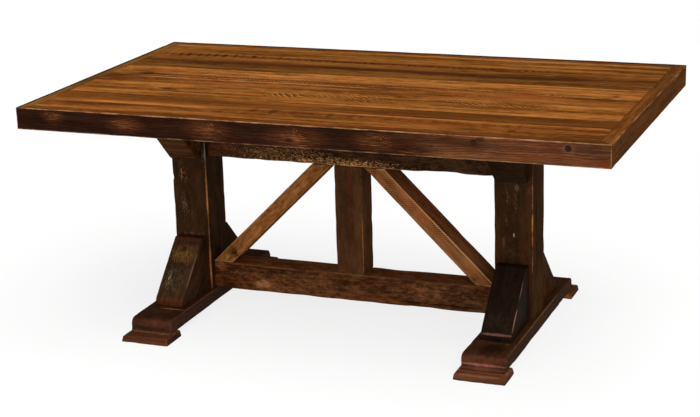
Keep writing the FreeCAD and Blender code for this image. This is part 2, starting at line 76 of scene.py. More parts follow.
def ripple(points, size, seed):
    """Smooth random values, mostly within -1 and 1, that change over about `size`."""
    dice = np.random.default_rng(seed)
    total = np.zeros(len(points))
    for _ in range(WAVES):
        heading = unit(dice.normal(size=3)) * dice.uniform(0.5, 1.6)
        total += np.sin(points @ heading * (math.tau / size) + dice.uniform(0, math.tau))
    return total / math.sqrt(WAVES)


def rounded_corner(before, corner, after, radius, step):
    """Points and outward normals round one corner of an anticlockwise outline."""
    heading, leaving = unit(corner - before), unit(after - corner)
    turn = math.atan2(heading[0] * leaving[1] - heading[1] * leaving[0], heading @ leaving)
    start = corner - heading * radius * math.tan(abs(turn) / 2)
    inward = np.array((-heading[1], heading[0])) * math.copysign(1, turn)
    centre = start + inward * radius
    steps = max(ARC_STEPS, round(abs(turn) * radius / step * 2))
    arc = []
    for angle in np.linspace(0, turn, steps + 1):
        way = turned(heading, angle)
        arc.append((centre + turned(start - centre, angle), (way[1], -way[0])))
    return arc


def straight_places(length, margin, step):
    """Distances along a straight run, closer together near its ends."""
    if length < 8 * margin:
        return np.linspace(0, length, 4)[1:-1]
    steps = max(1, round((length - 2 * FINE_RUN * margin) / step))
    middle = np.linspace(FINE_RUN * margin, length - FINE_RUN * margin, steps + 1)
    return np.concatenate(([margin], middle, [length - margin]))


def outline(corners, radii, step):
    """Points round an outline, their normals, and the distance to the nearest arris."""
    corners = [np.array(corner, float) for corner in corners]
    count = len(corners)
    arcs = [rounded_corner(corners[i - 1], corners[i], corners[(i + 1) % count], radii[i], step)
            for i in range(count)]
    rows = []
    for i, arc in enumerate(arcs):
        sharp = radii[i] < SHARP_RADIUS
        next_sharp = radii[(i + 1) % count] < SHARP_RADIUS
        rows += [(*place, *normal, 0.0 if sharp else 1.0) for place, normal in arc]
        start, finish = arc[-1][0], arcs[(i + 1) % count][0][0]
        length = np.linalg.norm(finish - start)
        if length < SHORT_RUN * step:
            continue
        heading = unit(finish - start)
        for gone in straight_places(length, min(radii[i], MOST_MARGIN), step):
            reach = min(gone if sharp else 1.0, length - gone if next_sharp else 1.0)
            rows.append((*(start + heading * gone), heading[1], -heading[0], reach))
    rows = np.array(rows)
    return rows[:, :2], rows[:, 2:4], rows[:, 4]


def stations(low, high, radius, step):
    """Places along a sweep, with its two ends rounded by `radius`."""
    near = np.array((0, 0.3, 1, FINE_RUN)) * radius
    steps = max(1, round((high - low - 2 * FINE_RUN * radius) / step))
    middle = np.linspace(low + FINE_RUN * radius, high - FINE_RUN * radius, steps + 1)[1:-1]
    return np.concatenate((low + near, middle, high - near[::-1]))


class Form:
    """The points and faces of one timber, before they become a mesh."""

    def __init__(self, corners, radii, axes, low, high, end_radius, step):
        flat, normals, reach = outline(corners, radii, step)
        middle = flat.mean(axis=0)
        rings, ways, edges = [], [], []
        for place in stations(low, high, end_radius, step):
            gone = min(place - low, high - place)
            short = max(0.0, end_radius - gone)
            inset = end_radius - math.sqrt(max(0.0, end_radius ** 2 - short ** 2))
            ring = flat - normals * inset
            lean = min(1.0, gone / end_radius + 0.3)
            end_way = -1 if place - low < high - place else 1
            rings.append(np.column_stack((ring, np.full(len(flat), place))))
            ways.append(np.column_stack((normals * lean,
                                         np.full(len(flat), end_way * (1 - lean)))))
            edges.append(np.minimum(reach, gone))
        heights = ((flat - middle) * normals).sum(axis=1)
        share = 1 - CAP_RING / heights if (heights > 2 * CAP_RING).all() else CAP_SCALE
        for end in (0, -1):
            cap = rings[end].copy()
            cap[:, :2] = middle + (cap[:, :2] - middle) * np.reshape(share, (-1, 1))
            way = np.tile((0.0, 0.0, -1.0 if end == 0 else 1.0), (len(flat), 1))
            where = 0 if end == 0 else len(rings)
            rings.insert(where, cap)
            ways.insert(where, way)
            edges.insert(where, np.ones(len(flat)))
        order = ["xyz".index(axis) for axis in axes]
        local = np.concatenate(rings)
        local_ways = np.concatenate(ways)
        self.points = np.empty_like(local)
        self.points[:, order] = local
        self.ways = np.empty_like(local)
        self.ways[:, order] = local_ways / np.linalg.norm(local_ways, axis=1)[:, None]
        self.reach = np.concatenate(edges)
        self.faces = self.ring_faces(len(flat), len(rings))
        self.start = self.points.copy()

    @staticmethod
    def ring_faces(around, count):
        here = np.arange(around)
        after = (here + 1) % around
        faces = []
        for ring in range(count - 1):
            low, high = ring * around, (ring + 1) * around
            quads = np.column_stack((here + low, after + low, after + high, here + high))
            faces += quads.tolist()
        faces.append(here[::-1].tolist())
        faces.append((here + (count - 1) * around).tolist())
        return faces

    def sink(self, amount):
        """Moves each point inwards by its amount."""
        self.points -= self.ways * np.maximum(amount, 0)[:, None]

    def arris(self):
        return np.exp(-(self.reach / ARRIS_REACH) ** 2)


def weather(form, along, seed, chips, wave=0.4, soften=0.5, chip_size=0.007, chip_depth=0.0015):
    """Uneven surfaces, arrises worn back by varying amounts, and small chips."""
    stretched = form.start * np.where(np.array(along) == 1, 0.22, 1.0)
    surface = 0.5 + 0.5 * ripple(stretched, 0.07, seed)
    form.sink(surface * wave * MM)
    worn = 0.35 + 0.65 * ripple(stretched, 0.035, seed + 1)
    form.sink(form.arris() * worn * soften * MM)
    dice = np.random.default_rng(seed + 2)
    edge_points = np.flatnonzero(form.reach < 0.0005)
    for _ in range(chips):
        centre = form.start[dice.choice(edge_points)]
        size = chip_size * dice.uniform(0.5, 1.5) * (1 + 1.6 * np.array(along))
        away = (form.start - centre) / size
        depth = chip_depth * dice.uniform(0.3, 1.0)
        form.sink(depth * np.exp(-(away ** 2).sum(axis=1)))


def spots(form, places):
    """A field that is near 1 at each named place and fades out over its size."""
    field = np.zeros(len(form.start))
    for centre, size, strength in places:
        away = (form.start - np.array(centre) * MM) / (np.array(size) * MM)
        field = np.maximum(field, strength * np.exp(-(away ** 2).sum(axis=1)))
    return field


def make_piece(node, form, material, grain, across, worn=(), least_worn=0.25,
               kind="timber"):
    """Turns a form into a piece that stands for a CAD node."""
    name = f"{node}_{kind}"
    mesh = bpy.data.meshes.new(name)
    mesh.from_pydata(form.points.tolist(), [], form.faces)
    mesh.shade_smooth()
    grain, across = unit(np.array(grain, float)), unit(np.array(across, float))
    turn = np.column_stack((grain, across, np.cross(grain, across)))
    coordinates = mesh.attributes.new("grain", "FLOAT_VECTOR", "POINT")
    coordinates.data.foreach_set("vector", (form.start @ turn).ravel())
    # The arris level paints worn edges. The spots in worn make it strongest, and there it paints
    # highlights on lit arrises or painted shade on arrises turned from the light.
    arris = form.arris() * np.maximum(spots(form, worn), least_worn)
    crown = np.clip((form.ways[:, 2] - CROWN_START) * CROWN_RISE, 0, 1)
    for label, values in (("arris", arris), ("crown", crown)):
        layer = mesh.attributes.new(label, "FLOAT", "POINT")
        layer.data.foreach_set("value", values)
    mesh.materials.append(material)
    mesh.update()
    piece = bpy.data.objects.new(name, mesh)
    bpy.context.scene.collection.objects.link(piece)
    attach(piece, "root")
    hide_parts(node)
    return piece


# Materials --------------------------------------------------------------------

def tone(red, green, blue):
    """A colour given in the usual 0-255 steps, as linear light."""
    linear = []
    for value in (red, green, blue):
        share = value / 255
        linear.append(share / 12.92 if share <= 0.04045 else ((share + 0.055) / 1.055) ** 2.4)
    return (*linear, 1.0)


def shaded(colour, red, green, blue):
    return (colour[0] * red, colour[1] * green, colour[2] * blue, 1.0)


class Graph:
    """Short calls that add nodes to one material."""

    def __init__(self, name):
        self.material = bpy.data.materials.new(name)
        self.material.use_nodes = True
        self.tree = self.material.node_tree
        self.tree.nodes.clear()

    def node(self, kind, inputs, **settings):
        made = self.tree.nodes.new(kind)
        for key, value in settings.items():
            setattr(made, key, value)
        for socket, value in inputs.items():
            if isinstance(value, bpy.types.NodeSocket):
                self.tree.links.new(value, made.inputs[socket])
            else:
                made.inputs[socket].default_value = value
        return made

    def math(self, operation, first, second=0.0, clamp=False):
        made = self.node("ShaderNodeMath", {0: first, 1: second}, operation=operation,
                         use_clamp=clamp)
        return made.outputs[0]

    def plus(self, first, second):
        return self.math("ADD", first, second)

    def minus(self, first, second):
        return self.math("SUBTRACT", first, second)

    def times(self, first, second):
        return self.math("MULTIPLY", first, second)

    def vector(self, operation, first, second):
        made = self.node("ShaderNodeVectorMath", {0: first, 1: second}, operation=operation)
        return made.outputs[0]

    def attribute(self, name, output="Fac"):
        made = self.node("ShaderNodeAttribute", {}, attribute_name=name)
        return made.outputs[output]

    def noise(self, vector, sizes, seed, detail=2.0, roughness=0.5, distortion=0.0):
        """Noise whose cells measure about `sizes` metres along, across and deep."""
        scaled = self.vector("MULTIPLY", vector, [1 / size for size in sizes])
        moved = self.vector("ADD", scaled, (seed * 3.17, seed * 1.71, seed * 2.39))
        made = self.node("ShaderNodeTexNoise",
                         {"Vector": moved, "Scale": 1.0, "Detail": detail,
                          "Roughness": roughness, "Distortion": distortion})
        return made.outputs[0]

    def between(self, value, low, high, first=0.0, last=1.0):
        """Maps low..high smoothly to first..last."""
        made = self.node("ShaderNodeMapRange", {"Value": value, "From Min": low, "From Max": high,
                                                "To Min": first, "To Max": last},
                         interpolation_type="SMOOTHSTEP")
        return made.outputs[0]

    def mixed(self, factor, first, second, blend="MIX"):
        made = self.node("ShaderNodeMix", {0: factor, 6: first, 7: second}, data_type="RGBA",
                         blend_type=blend)
        return made.outputs[2]

    def ramp(self, value, stops):
        made = self.node("ShaderNodeValToRGB", {"Fac": value})
        band = made.color_ramp
        while len(band.elements) < len(stops):
            band.elements.new(0.5)
        for element, (place, colour) in zip(band.elements, stops):
            element.position = place
            element.color = colour
        return made.outputs[0]

    def parts(self, vector):
        return self.node("ShaderNodeSeparateXYZ", {0: vector}).outputs

    def window(self, value, middle, half, soft):
        """1 where value is within `half` of the middle, fading out over `soft`."""
        away = self.math("ABSOLUTE", self.minus(value, middle))
        return self.between(away, half + soft, max(half - soft, 0.0))

    def finish(self, colour, roughness, height, specular, metallic, coat):
        """The thin old lacquer of the timber is the coat, so the wood under it has no gloss."""
        bump = self.node("ShaderNodeBump", {"Height": height, "Distance": 1.0, "Strength": 1.0})
        shader = self.node("ShaderNodeBsdfPrincipled",
                           {"Base Color": colour, "Roughness": roughness,
                            "Normal": bump.outputs[0], "Specular IOR Level": specular,
                            "Metallic": metallic, "Coat Weight": coat, "Coat IOR": 2.4,
                            "Coat Roughness": 0.32, "Coat Normal": bump.outputs[0]})
        end = self.node("ShaderNodeOutputMaterial", {})
        self.tree.links.new(shader.outputs[0], end.inputs[0])
        return self.material


def tone_ramp(graph, value, base, contrast):
    """The light and dark lines of one timber, round a base colour in 0-255 steps."""
    base = tone(*base)
    deep = 1 - 0.62 * contrast
    pale = 1 + 0.75 * contrast
    dark = shaded(base, deep, deep * 0.93, deep * 0.85)
    dusk = shaded(base, 1 - 0.3 * contrast, 1 - 0.32 * contrast, 1 - 0.36 * contrast)
    light = shaded(base, 1 + 0.28 * contrast, 1 + 0.3 * contrast, 1 + 0.36 * contrast)
    glow = shaded(base, pale, pale * 1.04, pale * 1.15)
    return graph.ramp(value, [(0.1, dark), (0.36, dusk), (0.5, base), (0.66, light), (0.92, glow)])


FLECKED = 2.0
# The layers of figure in bare wood: cell length and width in metres, detail, roughness.
FIGURE = {"broad": (0.60, 0.035, 3.0, 0.55), "middle": (0.34, 0.014, 3.0, 0.60),
          "lines": (0.22, 0.006, 4.0, 0.62), "hairs": (0.05, 0.0017, 3.0, 0.60),
          "cloud": (0.14, 0.050, 4.0, 0.60), "scuffs": (0.045, 0.010, 4.0, 0.65),
          "mottle": (0.026, 0.012, 5.0, 0.70)}
PLANK_FIGURE = dict(broad=1.7, middle=0.8, lines=0.28, hairs=0.5, cloud=0.7, scuffs=0.8,
                    mottle=0.7)
EDGE_FIGURE = dict(broad=0.9, middle=0.9, lines=0.9, hairs=0.6, cloud=0.7, scuffs=0.7)
BASE_FIGURE = dict(broad=0.4, middle=0.35, lines=0.35, hairs=0.35, cloud=1.5, scuffs=0.5,
                   mottle=0.9)
ROUGH_FIGURE = dict(broad=0.4, middle=0.4, lines=0.4, hairs=0.5, cloud=1.7, scuffs=0.9,
                    mottle=2.4)
PLANED_FIGURE = dict(broad=0.5, middle=0.5, lines=0.35, hairs=0.45, cloud=0.9, scuffs=0.6,
                     mottle=0.6)
SPECKLED_FIGURE = PLANED_FIGURE | dict(mottle=2.0, broad=0.7)
SAWN_FIGURE = dict(broad=1.1, middle=0.9, lines=0.7, hairs=0.6, cloud=0.6, scuffs=0.5)


class Timber(Graph):
    """The material of one timber. Its grain runs along the first grain coordinate."""

    def __init__(self, name, seed, wander, wiggle, place=None):
        super().__init__(name)
        self.seed = seed
        self.place = place(self) if place else self.attribute("grain", "Vector")
        self.spot = self.node("ShaderNodeTexCoord", {}).outputs["Object"]
        slow = self.noise(self.place, (0.45, 0.10, 0.10), seed + 1, 2.0)
        quick = self.noise(self.place, (0.09, 0.03, 0.03), seed + 6, 2.0)
        bend = self.plus(self.centred(slow, wander * MM * 2),
                         self.centred(quick, wiggle * MM * 2))
        shift = self.node("ShaderNodeCombineXYZ", {0: 0.0, 1: bend, 2: bend})
        self.wavy = self.vector("ADD", self.place, shift.outputs[0])
        self.along, self.across, self.depth = self.parts(self.wavy)
        self.jitter = self.noise(self.place, (0.055, 0.11, 0.11), seed + 17, 1.0)
        self.layers = {}
        for number, (label, (long, wide, detail, rough)) in enumerate(FIGURE.items()):
            self.layers[label] = self.noise(self.wavy, (long, wide, wide), seed + 30 + number,
                                            detail, rough)

    def centred(self, value, scale):
        """A 0..1 value turned into -scale/2..scale/2."""
        return self.times(self.minus(value, 0.5), scale)

    def paint(self, amount, colour, most=1.0):
        amount = self.math("MULTIPLY", amount, most, clamp=True)
        self.colour = self.mixed(amount, self.colour, colour)

    def dig(self, amount, depth):
        """Lowers the surface by up to `depth` millimetres."""
        cut = self.times(amount, depth * MM)
        self.height = self.minus(self.height, cut)

    def lay_grain(self, rings, ring_gap, pith, figure):
        """How light or dark the bare wood is, from its layers and its growth rings."""
        deep = self.plus(self.depth, pith * MM)
        squares = self.plus(self.times(self.across, self.across), self.times(deep, deep))
        radius = self.plus(self.math("SQRT", squares), self.centred(self.layers["cloud"], 0.02))
        ring = self.math("SINE", self.times(radius, math.tau / (ring_gap * MM)))
        late = self.between(ring, 0.45, 1.0)
        value = self.minus(0.5, self.times(late, rings * 0.3))
        for label, weight in figure.items():
            value = self.plus(value, self.centred(self.layers[label], weight))
        self.value = self.math("ADD", value, 0.0, clamp=True)
        height = self.times(self.layers["lines"], 0.0003)
        hairs = self.times(self.layers["hairs"], 0.00012)
        height = self.plus(height, hairs)
        mottle = self.times(self.layers["mottle"], 0.0003 * figure.get("mottle", 0.5))
        self.height = self.plus(height, mottle)

    def stain_wood(self, base, contrast, turns_to, crown, hue):
        """The stained colour, and how it changes along the timber and on its upper face, which on
        the stretcher is painted lighter, as painted light.
        """
        self.colour = tone_ramp(self, self.value, base, contrast)
        if turns_to is not None:
            other, start, finish = turns_to
            gone = self.plus(self.along, self.centred(self.layers["cloud"], 0.35))
            share = self.between(gone, start * MM, finish * MM)
            self.paint(share, tone_ramp(self, self.value, other, contrast))
        if crown is not None:
            colour, top_contrast = crown
            self.paint(self.attribute("crown"), tone_ramp(self, self.value, colour, top_contrast))
        drift = self.noise(self.wavy, (0.22, 0.025, 0.025), self.seed + 14, 2.0)
        tint = self.ramp(drift, [(0.32, (1 + 0.14 * hue, 1 - 0.06 * hue, 1 - 0.16 * hue, 1)),
                                 (0.5, (1, 1, 1, 1)),
                                 (0.68, (1 - 0.06 * hue, 1 + 0.05 * hue, 1 + 0.02 * hue, 1))])
        self.colour = self.mixed(1.0, self.colour, tint, "MULTIPLY")

    def within(self, middle, half, start, finish, soft=0.8):
        """A mask for a strip of the face: its middle across, and where it starts and ends."""
        band = self.window(self.across, middle * MM, half * MM, half * soft * MM)
        length = finish - start
        span = self.window(self.along, (start + finish) / 2 * MM, length / 2 * MM,
                           min(80, length * 0.4) * MM)
        return self.times(band, span)

    def distance(self, centre, size):
        """How far each point is from one place in the model, in units of a size."""
        away = self.vector("SUBTRACT", self.spot, [value * MM for value in centre])
        away = self.vector("DIVIDE", away, [value * MM for value in size])
        return self.node("ShaderNodeVectorMath", {0: away}, operation="LENGTH").outputs["Value"]

    def blob(self, centre, size, rag):
        """A mask that is 1 round one place in the model, with a ragged edge."""
        far = self.plus(self.distance(centre, size), self.centred(self.scratches, rag * 2))
        return self.between(far, 1.2, 0.6)

    def flecked(self, centre, size):
        """A mask of separate scratches round one place, which thin out away from it."""
        far = self.distance(centre, size)
        reach = self.between(far, 1.35, 0.2, 0.0, 0.13)
        scratched = self.between(self.plus(self.scratches, reach), 0.56, 0.72)
        return self.times(scratched, self.between(far, 1.8, 0.9))

    def add_streak(self, middle, half, start, finish, colour, strength):
        ragged = self.plus(self.layers["lines"], self.centred(self.layers["scuffs"], 1.0))
        share = self.plus(0.3, self.between(ragged, 0.3, 0.7, 0.0, 0.8))
        mask = self.times(self.within(middle, half, start, finish), share)
        self.paint(mask, tone(*colour), strength)

    def add_chatter(self, middle, half, start, finish, pitch, slant, colour, strength, lip_highlight=0.0):
        """A row of slanting marks left by a saw or plane, some with a painted highlight on their
        lit edge.
        """
        slope = self.plus(self.along, self.times(self.across, slant))
        slope = self.plus(slope, self.centred(self.jitter, 42 * MM))
        phase = self.times(slope, math.tau / (pitch * MM))
        torn = pitch * 1.4 * MM
        patchy = self.noise(self.wavy, (torn * 1.6, torn, torn), self.seed + middle, 3.0)
        where = self.times(self.between(patchy, 0.36, 0.52),
                           self.within(middle, half, start, finish, 0.5))
        if lip_highlight:
            # A painted highlight on the edge of each mark that faces the light.
            edge = self.math("SINE", self.plus(phase, 1.7))
            edge = self.times(self.between(edge, 0.3, 1.0), where)
            self.paint(edge, tone(*LIP_HIGHLIGHT), lip_highlight)
        mark = self.times(self.between(self.math("SINE", phase), 0.0, 0.9), where)
        self.paint(mark, tone(*colour), strength)
        self.dig(mark, 0.4)

    def add_saw_marks(self, amount, pitch, tilt):
        """Kerf lines across the whole timber, worn away in places."""
        slope = self.plus(self.along, self.times(self.across, tilt))
        slope = self.plus(slope, self.centred(self.layers["cloud"], 0.006))
        beat = self.math("SINE", self.times(slope, math.tau / (pitch * MM)))
        patchy = self.between(self.noise(self.place, (0.06, 0.03, 0.03), self.seed + 8, 3.0),
                              0.36, 0.6)
        mark = self.times(self.between(beat, -0.4, 1.0), self.times(patchy, amount))
        shade = self.between(mark, 0.0, 1.0, 1.12, 0.45)
        grey = self.node("ShaderNodeCombineColor", {0: shade, 1: shade, 2: shade}).outputs[0]
        self.colour = self.mixed(1.0, self.colour, grey, "MULTIPLY")
        self.dig(mark, 0.5)

    def add_flecks(self, colour, amount, length, width, seed):
        """Small pale scuffs where the finish has rubbed off rough fibres."""
        torn = self.noise(self.wavy, (length * MM, width * MM, width * MM), seed, 4.0, 0.7)
        patchy = self.noise(self.place, (0.12, 0.035, 0.035), seed + 1, 3.0, 0.6)
        mark = self.times(self.between(torn, 0.52, 0.70), self.between(patchy, 0.45, 0.66))
        self.paint(mark, tone(*colour), amount)
        self.dig(mark, 0.3)

    def add_marks(self, marks, cell):
        """Worn, stained or bruised places, and painted highlights and shade, each with its own
        tone and ragged edge.
        """
        long, wide = cell
        self.scratches = self.noise(self.wavy, (long * MM, wide * MM, wide * MM), self.seed + 12,
                                    4.0, 0.7, 0.4)
        for centre, size, colour, strength, rag in marks:
            mask = self.flecked(centre, size) if rag == FLECKED else self.blob(centre, size, rag)
            self.paint(mask, tone_ramp(self, self.value, colour, 0.6), strength)

    # Worn edges, with painted highlights or painted shade along the arrises that a piece's spots
    # pick out.
    def paint_arris_wear_and_light(self, colour, amount):
        arris = self.attribute("arris")
        worn = self.noise(self.place, (0.07, 0.02, 0.02), self.seed + 9, 5.0, 0.7)
        mark = self.between(self.plus(arris, self.centred(worn, 1.1)), 0.5, 0.95)
        self.paint(self.times(mark, self.between(arris, 0.1, 0.3)), colour, amount)

    def done(self, roughness, coat):
        sheen = self.plus(roughness, self.centred(self.layers["cloud"], 0.25))
        sheen = self.plus(sheen, self.centred(self.layers["lines"], 0.3))
        return self.finish(self.colour, sheen, self.height, 0.0, 0.0, coat)


def wood(name, base, seed, contrast=0.8, turns_to=None, crown=None, hue=1.0, wander=7.0,
         wiggle=1.0, rings=0.4, ring_gap=6.0, pith=90.0, figure=SAWN_FIGURE, streaks=(),
         chatter=(), saw=0.0, saw_pitch=8.0, saw_tilt=0.0, flecks=(), marks=(),
         mark_cell=(14, 5), arris_tone=None, arris_shade=(1, 1, 1), arris_amount=0.7,
         roughness=0.45, coat=0.015, place=None):
    """Worn timber. Lengths are in millimetres and colours in 0-255 steps."""
    timber = Timber(name, seed, wander, wiggle, place)
    timber.lay_grain(rings, ring_gap, pith, figure)
    timber.stain_wood(base, contrast, turns_to, crown, hue)
    if saw:
        timber.add_saw_marks(saw, saw_pitch, saw_tilt)
    for streak in streaks:
        timber.add_streak(*streak)
    for number, fleck in enumerate(flecks):
        timber.add_flecks(*fleck, seed + 20 + number)
    timber.add_marks(marks, mark_cell)
    for row in chatter:
        timber.add_chatter(*row)
    if arris_tone is not None:
        timber.paint_arris_wear_and_light(shaded(tone(*arris_tone), *arris_shade), arris_amount)
    return timber.done(roughness, coat)


def model_place(turn):
    """Makes grain coordinates for a CAD solid, from its place in the model."""
    def build(graph):
        where = graph.node("ShaderNodeTexCoord", {}).outputs["Object"]
        x, y, z = graph.parts(where)
        order = {"x": (x, y, z), "y": (y, x, z), "z": (z, x, y)}[turn]
        return graph.node("ShaderNodeCombineXYZ", dict(enumerate(order))).outputs[0]
    return build


def steel(name):
    """Zinc-plated screws and bolts, dulled and lightly spotted."""
    graph = Graph(name)
    where = graph.node("ShaderNodeTexCoord", {}).outputs["Object"]
    cloud = graph.noise(where, (0.004, 0.004, 0.004), 3, 3.0)
    turning = graph.noise(where, (0.0006, 0.0006, 0.004), 5, 2.0)
    colour = graph.ramp(cloud, [(0.3, tone(96, 90, 80)), (0.55, tone(168, 166, 160)),
                                (0.8, tone(190, 188, 182))])
    roughness = graph.between(cloud, 0.3, 0.7, 0.5, 0.28)
    return graph.finish(colour, roughness, graph.times(turning, 0.00003), 0.5, 0.9, 0.0)


# The top ----------------------------------------------------------------------

DARK_MARK, UMBER = (56, 25, 11), (66, 33, 12)
RED_MARK, TEAR = (92, 40, 16), (58, 25, 8)
# The colour of the painted highlight on the lit edge of chatter marks.
LIP_HIGHLIGHT = (186, 122, 62)
PLANKS = {
    1: dict(base=(121, 71, 28), slot="plank_mid",
            streaks=[(-384, 12, -260, 420, RED_MARK, 0.55),
                     (-362, 6, -860, 60, (84, 44, 16), 0.5),
                     (-386, 9, -760, -340, (190, 124, 60), 0.8),
                     (-366, 6, 60, 880, (192, 120, 62), 0.7),
                     (-430, 12, 200, 860, (150, 84, 34), 0.5)],
            chatter=[(-394, 15, 120, 800, 36, 0.1, RED_MARK, 0.5)],
            marks=[(-680, -383, 34, 7, (206, 104, 42), 0.7, 0.6),
                   (-80, -389, 150, 26, (84, 46, 17), 0.6, FLECKED),
                   (-189, -387, 13, 22, UMBER, 0.6, 1.5),
                   (-124, -385, 15, 28, UMBER, 0.75, 1.4),
                   (-61, -390, 14, 20, UMBER, 0.6, 1.5),
                   (-12, -388, 34, 13, UMBER, 0.5, 1.5),
                   (59, -397, 12, 24, UMBER, 0.65, 1.4),
                   (119, -394, 12, 20, UMBER, 0.5, 1.5),
                   (240, -398, 14, 20, UMBER, 0.4, 1.5),
                   (617, -446, 14, 18, UMBER, 0.6, 1.4),
                   (12, -460, 46, 20, RED_MARK, 0.5, FLECKED)]),
    2: dict(base=(107, 62, 21), slot="plank_dark", contrast=0.65,
            turns_to=((95, 54, 18), -200, 500),
            streaks=[(-284, 7, -350, 60, (164, 100, 48), 0.6),
                     (-312, 9, -700, -300, (74, 42, 16), 0.5)]),
    3: dict(base=(138, 84, 34), slot="plank_light",
            streaks=[(-258, 14, -40, 720, (184, 118, 58), 0.8),
                     (-128, 12, 620, 870, (200, 130, 64), 0.7),
                     (-150, 9, -420, 60, (176, 122, 62), 0.6),
                     (-216, 8, -400, 300, (108, 62, 24), 0.4)],
            chatter=[(-178, 26, -232, -108, 24, 0.95, TEAR, 0.75, 0.65),
                     (-164, 15, -108, 20, 24, 0.95, TEAR, 0.45, 0.3),
                     (-172, 38, 24, 182, 20, 0.95, TEAR, 0.8, 0.5),
                     (-150, 34, 330, 486, 20, 0.95, TEAR, 0.8, 0.5),
                     (-150, 28, 494, 626, 21, 0.95, TEAR, 0.75, 0.45),
                     (-152, 16, 640, 770, 22, 0.95, TEAR, 0.4, 0.3)],
            marks=[(-570, -183, 34, 9, DARK_MARK, 0.95, 1.0),
                   (-618, -150, 62, 20, (190, 140, 84), 0.5, FLECKED),
                   (-430, -176, 90, 14, (170, 92, 44), 0.5, FLECKED)]),
    4: dict(base=(115, 66, 25), slot="plank_mid",
            streaks=[(-26, 7, -760, 60, (188, 126, 66), 0.8),
                     (-62, 8, -420, 20, (160, 98, 46), 0.5),
                     (-86, 9, -860, -420, (92, 54, 20), 0.5)],
            flecks=[((180, 138, 92), 0.5, 12, 5), ((74, 38, 16), 0.5, 16, 6)]),
    5: dict(base=(148, 91, 40), slot="plank_light",
            turns_to=((138, 84, 35), 350, 750),
            streaks=[(36, 14, -700, 300, (190, 120, 60), 0.6),
                     (10, 18, -800, 310, (96, 46, 17), 0.9),
                     (-1, 3, -740, 420, (184, 118, 58), 0.9),
                     (6, 12, 240, 580, (94, 45, 17), 0.85),
                     (92, 12, 380, 700, (178, 108, 50), 0.5)],
            chatter=[(8, 18, -600, 640, 16, 0.95, TEAR, 0.65),
                     (27, 12, -440, 160, 17, 0.95, TEAR, 0.35, 0.3)],
            marks=[(-747, 15, 34, 14, DARK_MARK, 0.85, 1.4),
                   (-700, 15, 30, 10, DARK_MARK, 0.8, 1.2),
                   (-100, 8, 460, 22, RED_MARK, 0.55, FLECKED),
                   (600, 4, 90, 14, UMBER, 0.8, FLECKED),
                   (540, 2, 30, 8, (120, 40, 16), 0.7, 0.8),
                   (800, 30, 12, 14, RED_MARK, 0.7, 0.8)]),
    6: dict(base=(96, 57, 21), slot="plank_dark",
            streaks=[(238, 14, -880, 880, (62, 29, 11), 0.75),
                     (216, 7, -500, 880, (66, 28, 12), 0.6),
                     (160, 16, -880, 500, (120, 80, 36), 0.4)],
            flecks=[((140, 100, 62), 0.35, 20, 6)]),
    7: dict(base=(112, 67, 25), slot="plank_mid",
            streaks=[(334, 13, -830, 140, (84, 44, 17), 0.8),
                     (356, 10, -880, 700, (158, 98, 46), 0.6),
                     (300, 9, -200, 100, (160, 98, 46), 0.5)],
            chatter=[(334, 22, -840, -380, 33, 0.1, DARK_MARK, 0.95),
                     (322, 10, -400, 520, 26, 0.2, DARK_MARK, 0.9)]),
    8: dict(base=(127, 77, 29), slot="plank_mid",
            streaks=[(468, 10, 200, 880, (172, 114, 58), 0.7),
                     (424, 8, -600, 100, (100, 58, 22), 0.4)]),
}
PLANK_STEP = 0.013
PLANK_ARRIS = 1.0 * MM


def rectangle(low, high):
    return [(low[0], low[1]), (high[0], low[1]), (high[0], high[1]), (low[0], high[1])]


def box_form(node, axes, radius, end_radius, step):
    """A rounded, subdivided timber that fills a node's box, swept along its last axis."""
    low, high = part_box(node)
    first, second, third = ("xyz".index(axis) for axis in axes)
    corners = rectangle((low[first], low[second]), (high[first], high[second]))
    radii = radius if isinstance(radius, (list, tuple)) else [radius] * 4
    return Form(corners, radii, axes, low[third], high[third], end_radius, step)


def on_top(marks):
    """Marks on the upper face, from X and Y, length and width, and then their look."""
    return [((x, y, TOP), (long, wide, 4), *look) for x, y, long, wide, *look in marks]


def make_planks():
    for number, look in PLANKS.items():
        node = f"field_plank_{number}"
        look = dict(contrast=1.0, hue=0.5, figure=PLANK_FIGURE, mark_cell=(13, 7)) | look
        slot, marks = look.pop("slot"), on_top(look.pop("marks", ()))
        form = box_form(node, "yzx", PLANK_ARRIS, PLANK_ARRIS, PLANK_STEP)
        dice = np.random.default_rng(40 + number)
        weather(form, (1, 0, 0), 100 + number * 7, 10, wave=0.35, soften=0.4, chip_depth=0.0012)
        form.sink(np.where(form.ways[:, 2] > 0.5, dice.uniform(0.0, 0.25) * MM, 0))
        material = wood(f"{node}_wood", seed=number * 11,
                        arris_tone=look["base"], arris_shade=(0.45, 0.4, 0.36),
                        arris_amount=0.45, pith=60 + 25 * (number % 3), marks=marks, **look)
        make_piece(node, form, material, (1, 0, 0), (0, 1, 0), least_worn=0.7)


make_planks()

EDGE_STEP = 0.007
EDGE_ARRIS, INNER_ARRIS = 2.0 * MM, 0.8 * MM
# The outer corners of an edge board's outline: is it a long one, is its outer side the low one?
OUTER_CORNERS = {(True, True): (0, 3), (True, False): (1, 2),
                 (False, True): (0, 1), (False, False): (2, 3)}
# A light tone for the outer arrises: worn edge, and painted highlight where they face the light.
ARRIS_TAN = (214, 156, 108)
# Painted shade for the outer arrises that are turned away from the light.
ARRIS_PAINTED_SHADE = (40, 22, 11)
APRON_BASE, APRON_PALE = (50, 26, 14), (111, 67, 41)
BOARD_TOP = (110, 63, 24)
HALO, SCRATCH = (82, 43, 22), (150, 92, 50)
PURPLE = (60, 38, 33)
WORN_APRON = [(-788, 740, 26, 17), (-545, 729, 42, 20), (-276, 728, 50, 24),
              (2, 724, 62, 24), (247, 729, 48, 22)]


def on_front(marks):
    """Marks on the front edge board, from X and Z, length and height, and then their look."""
    return [((x, -HALF_WIDTH, z), (wide, 12, high), *look) for x, z, wide, high, *look in marks]


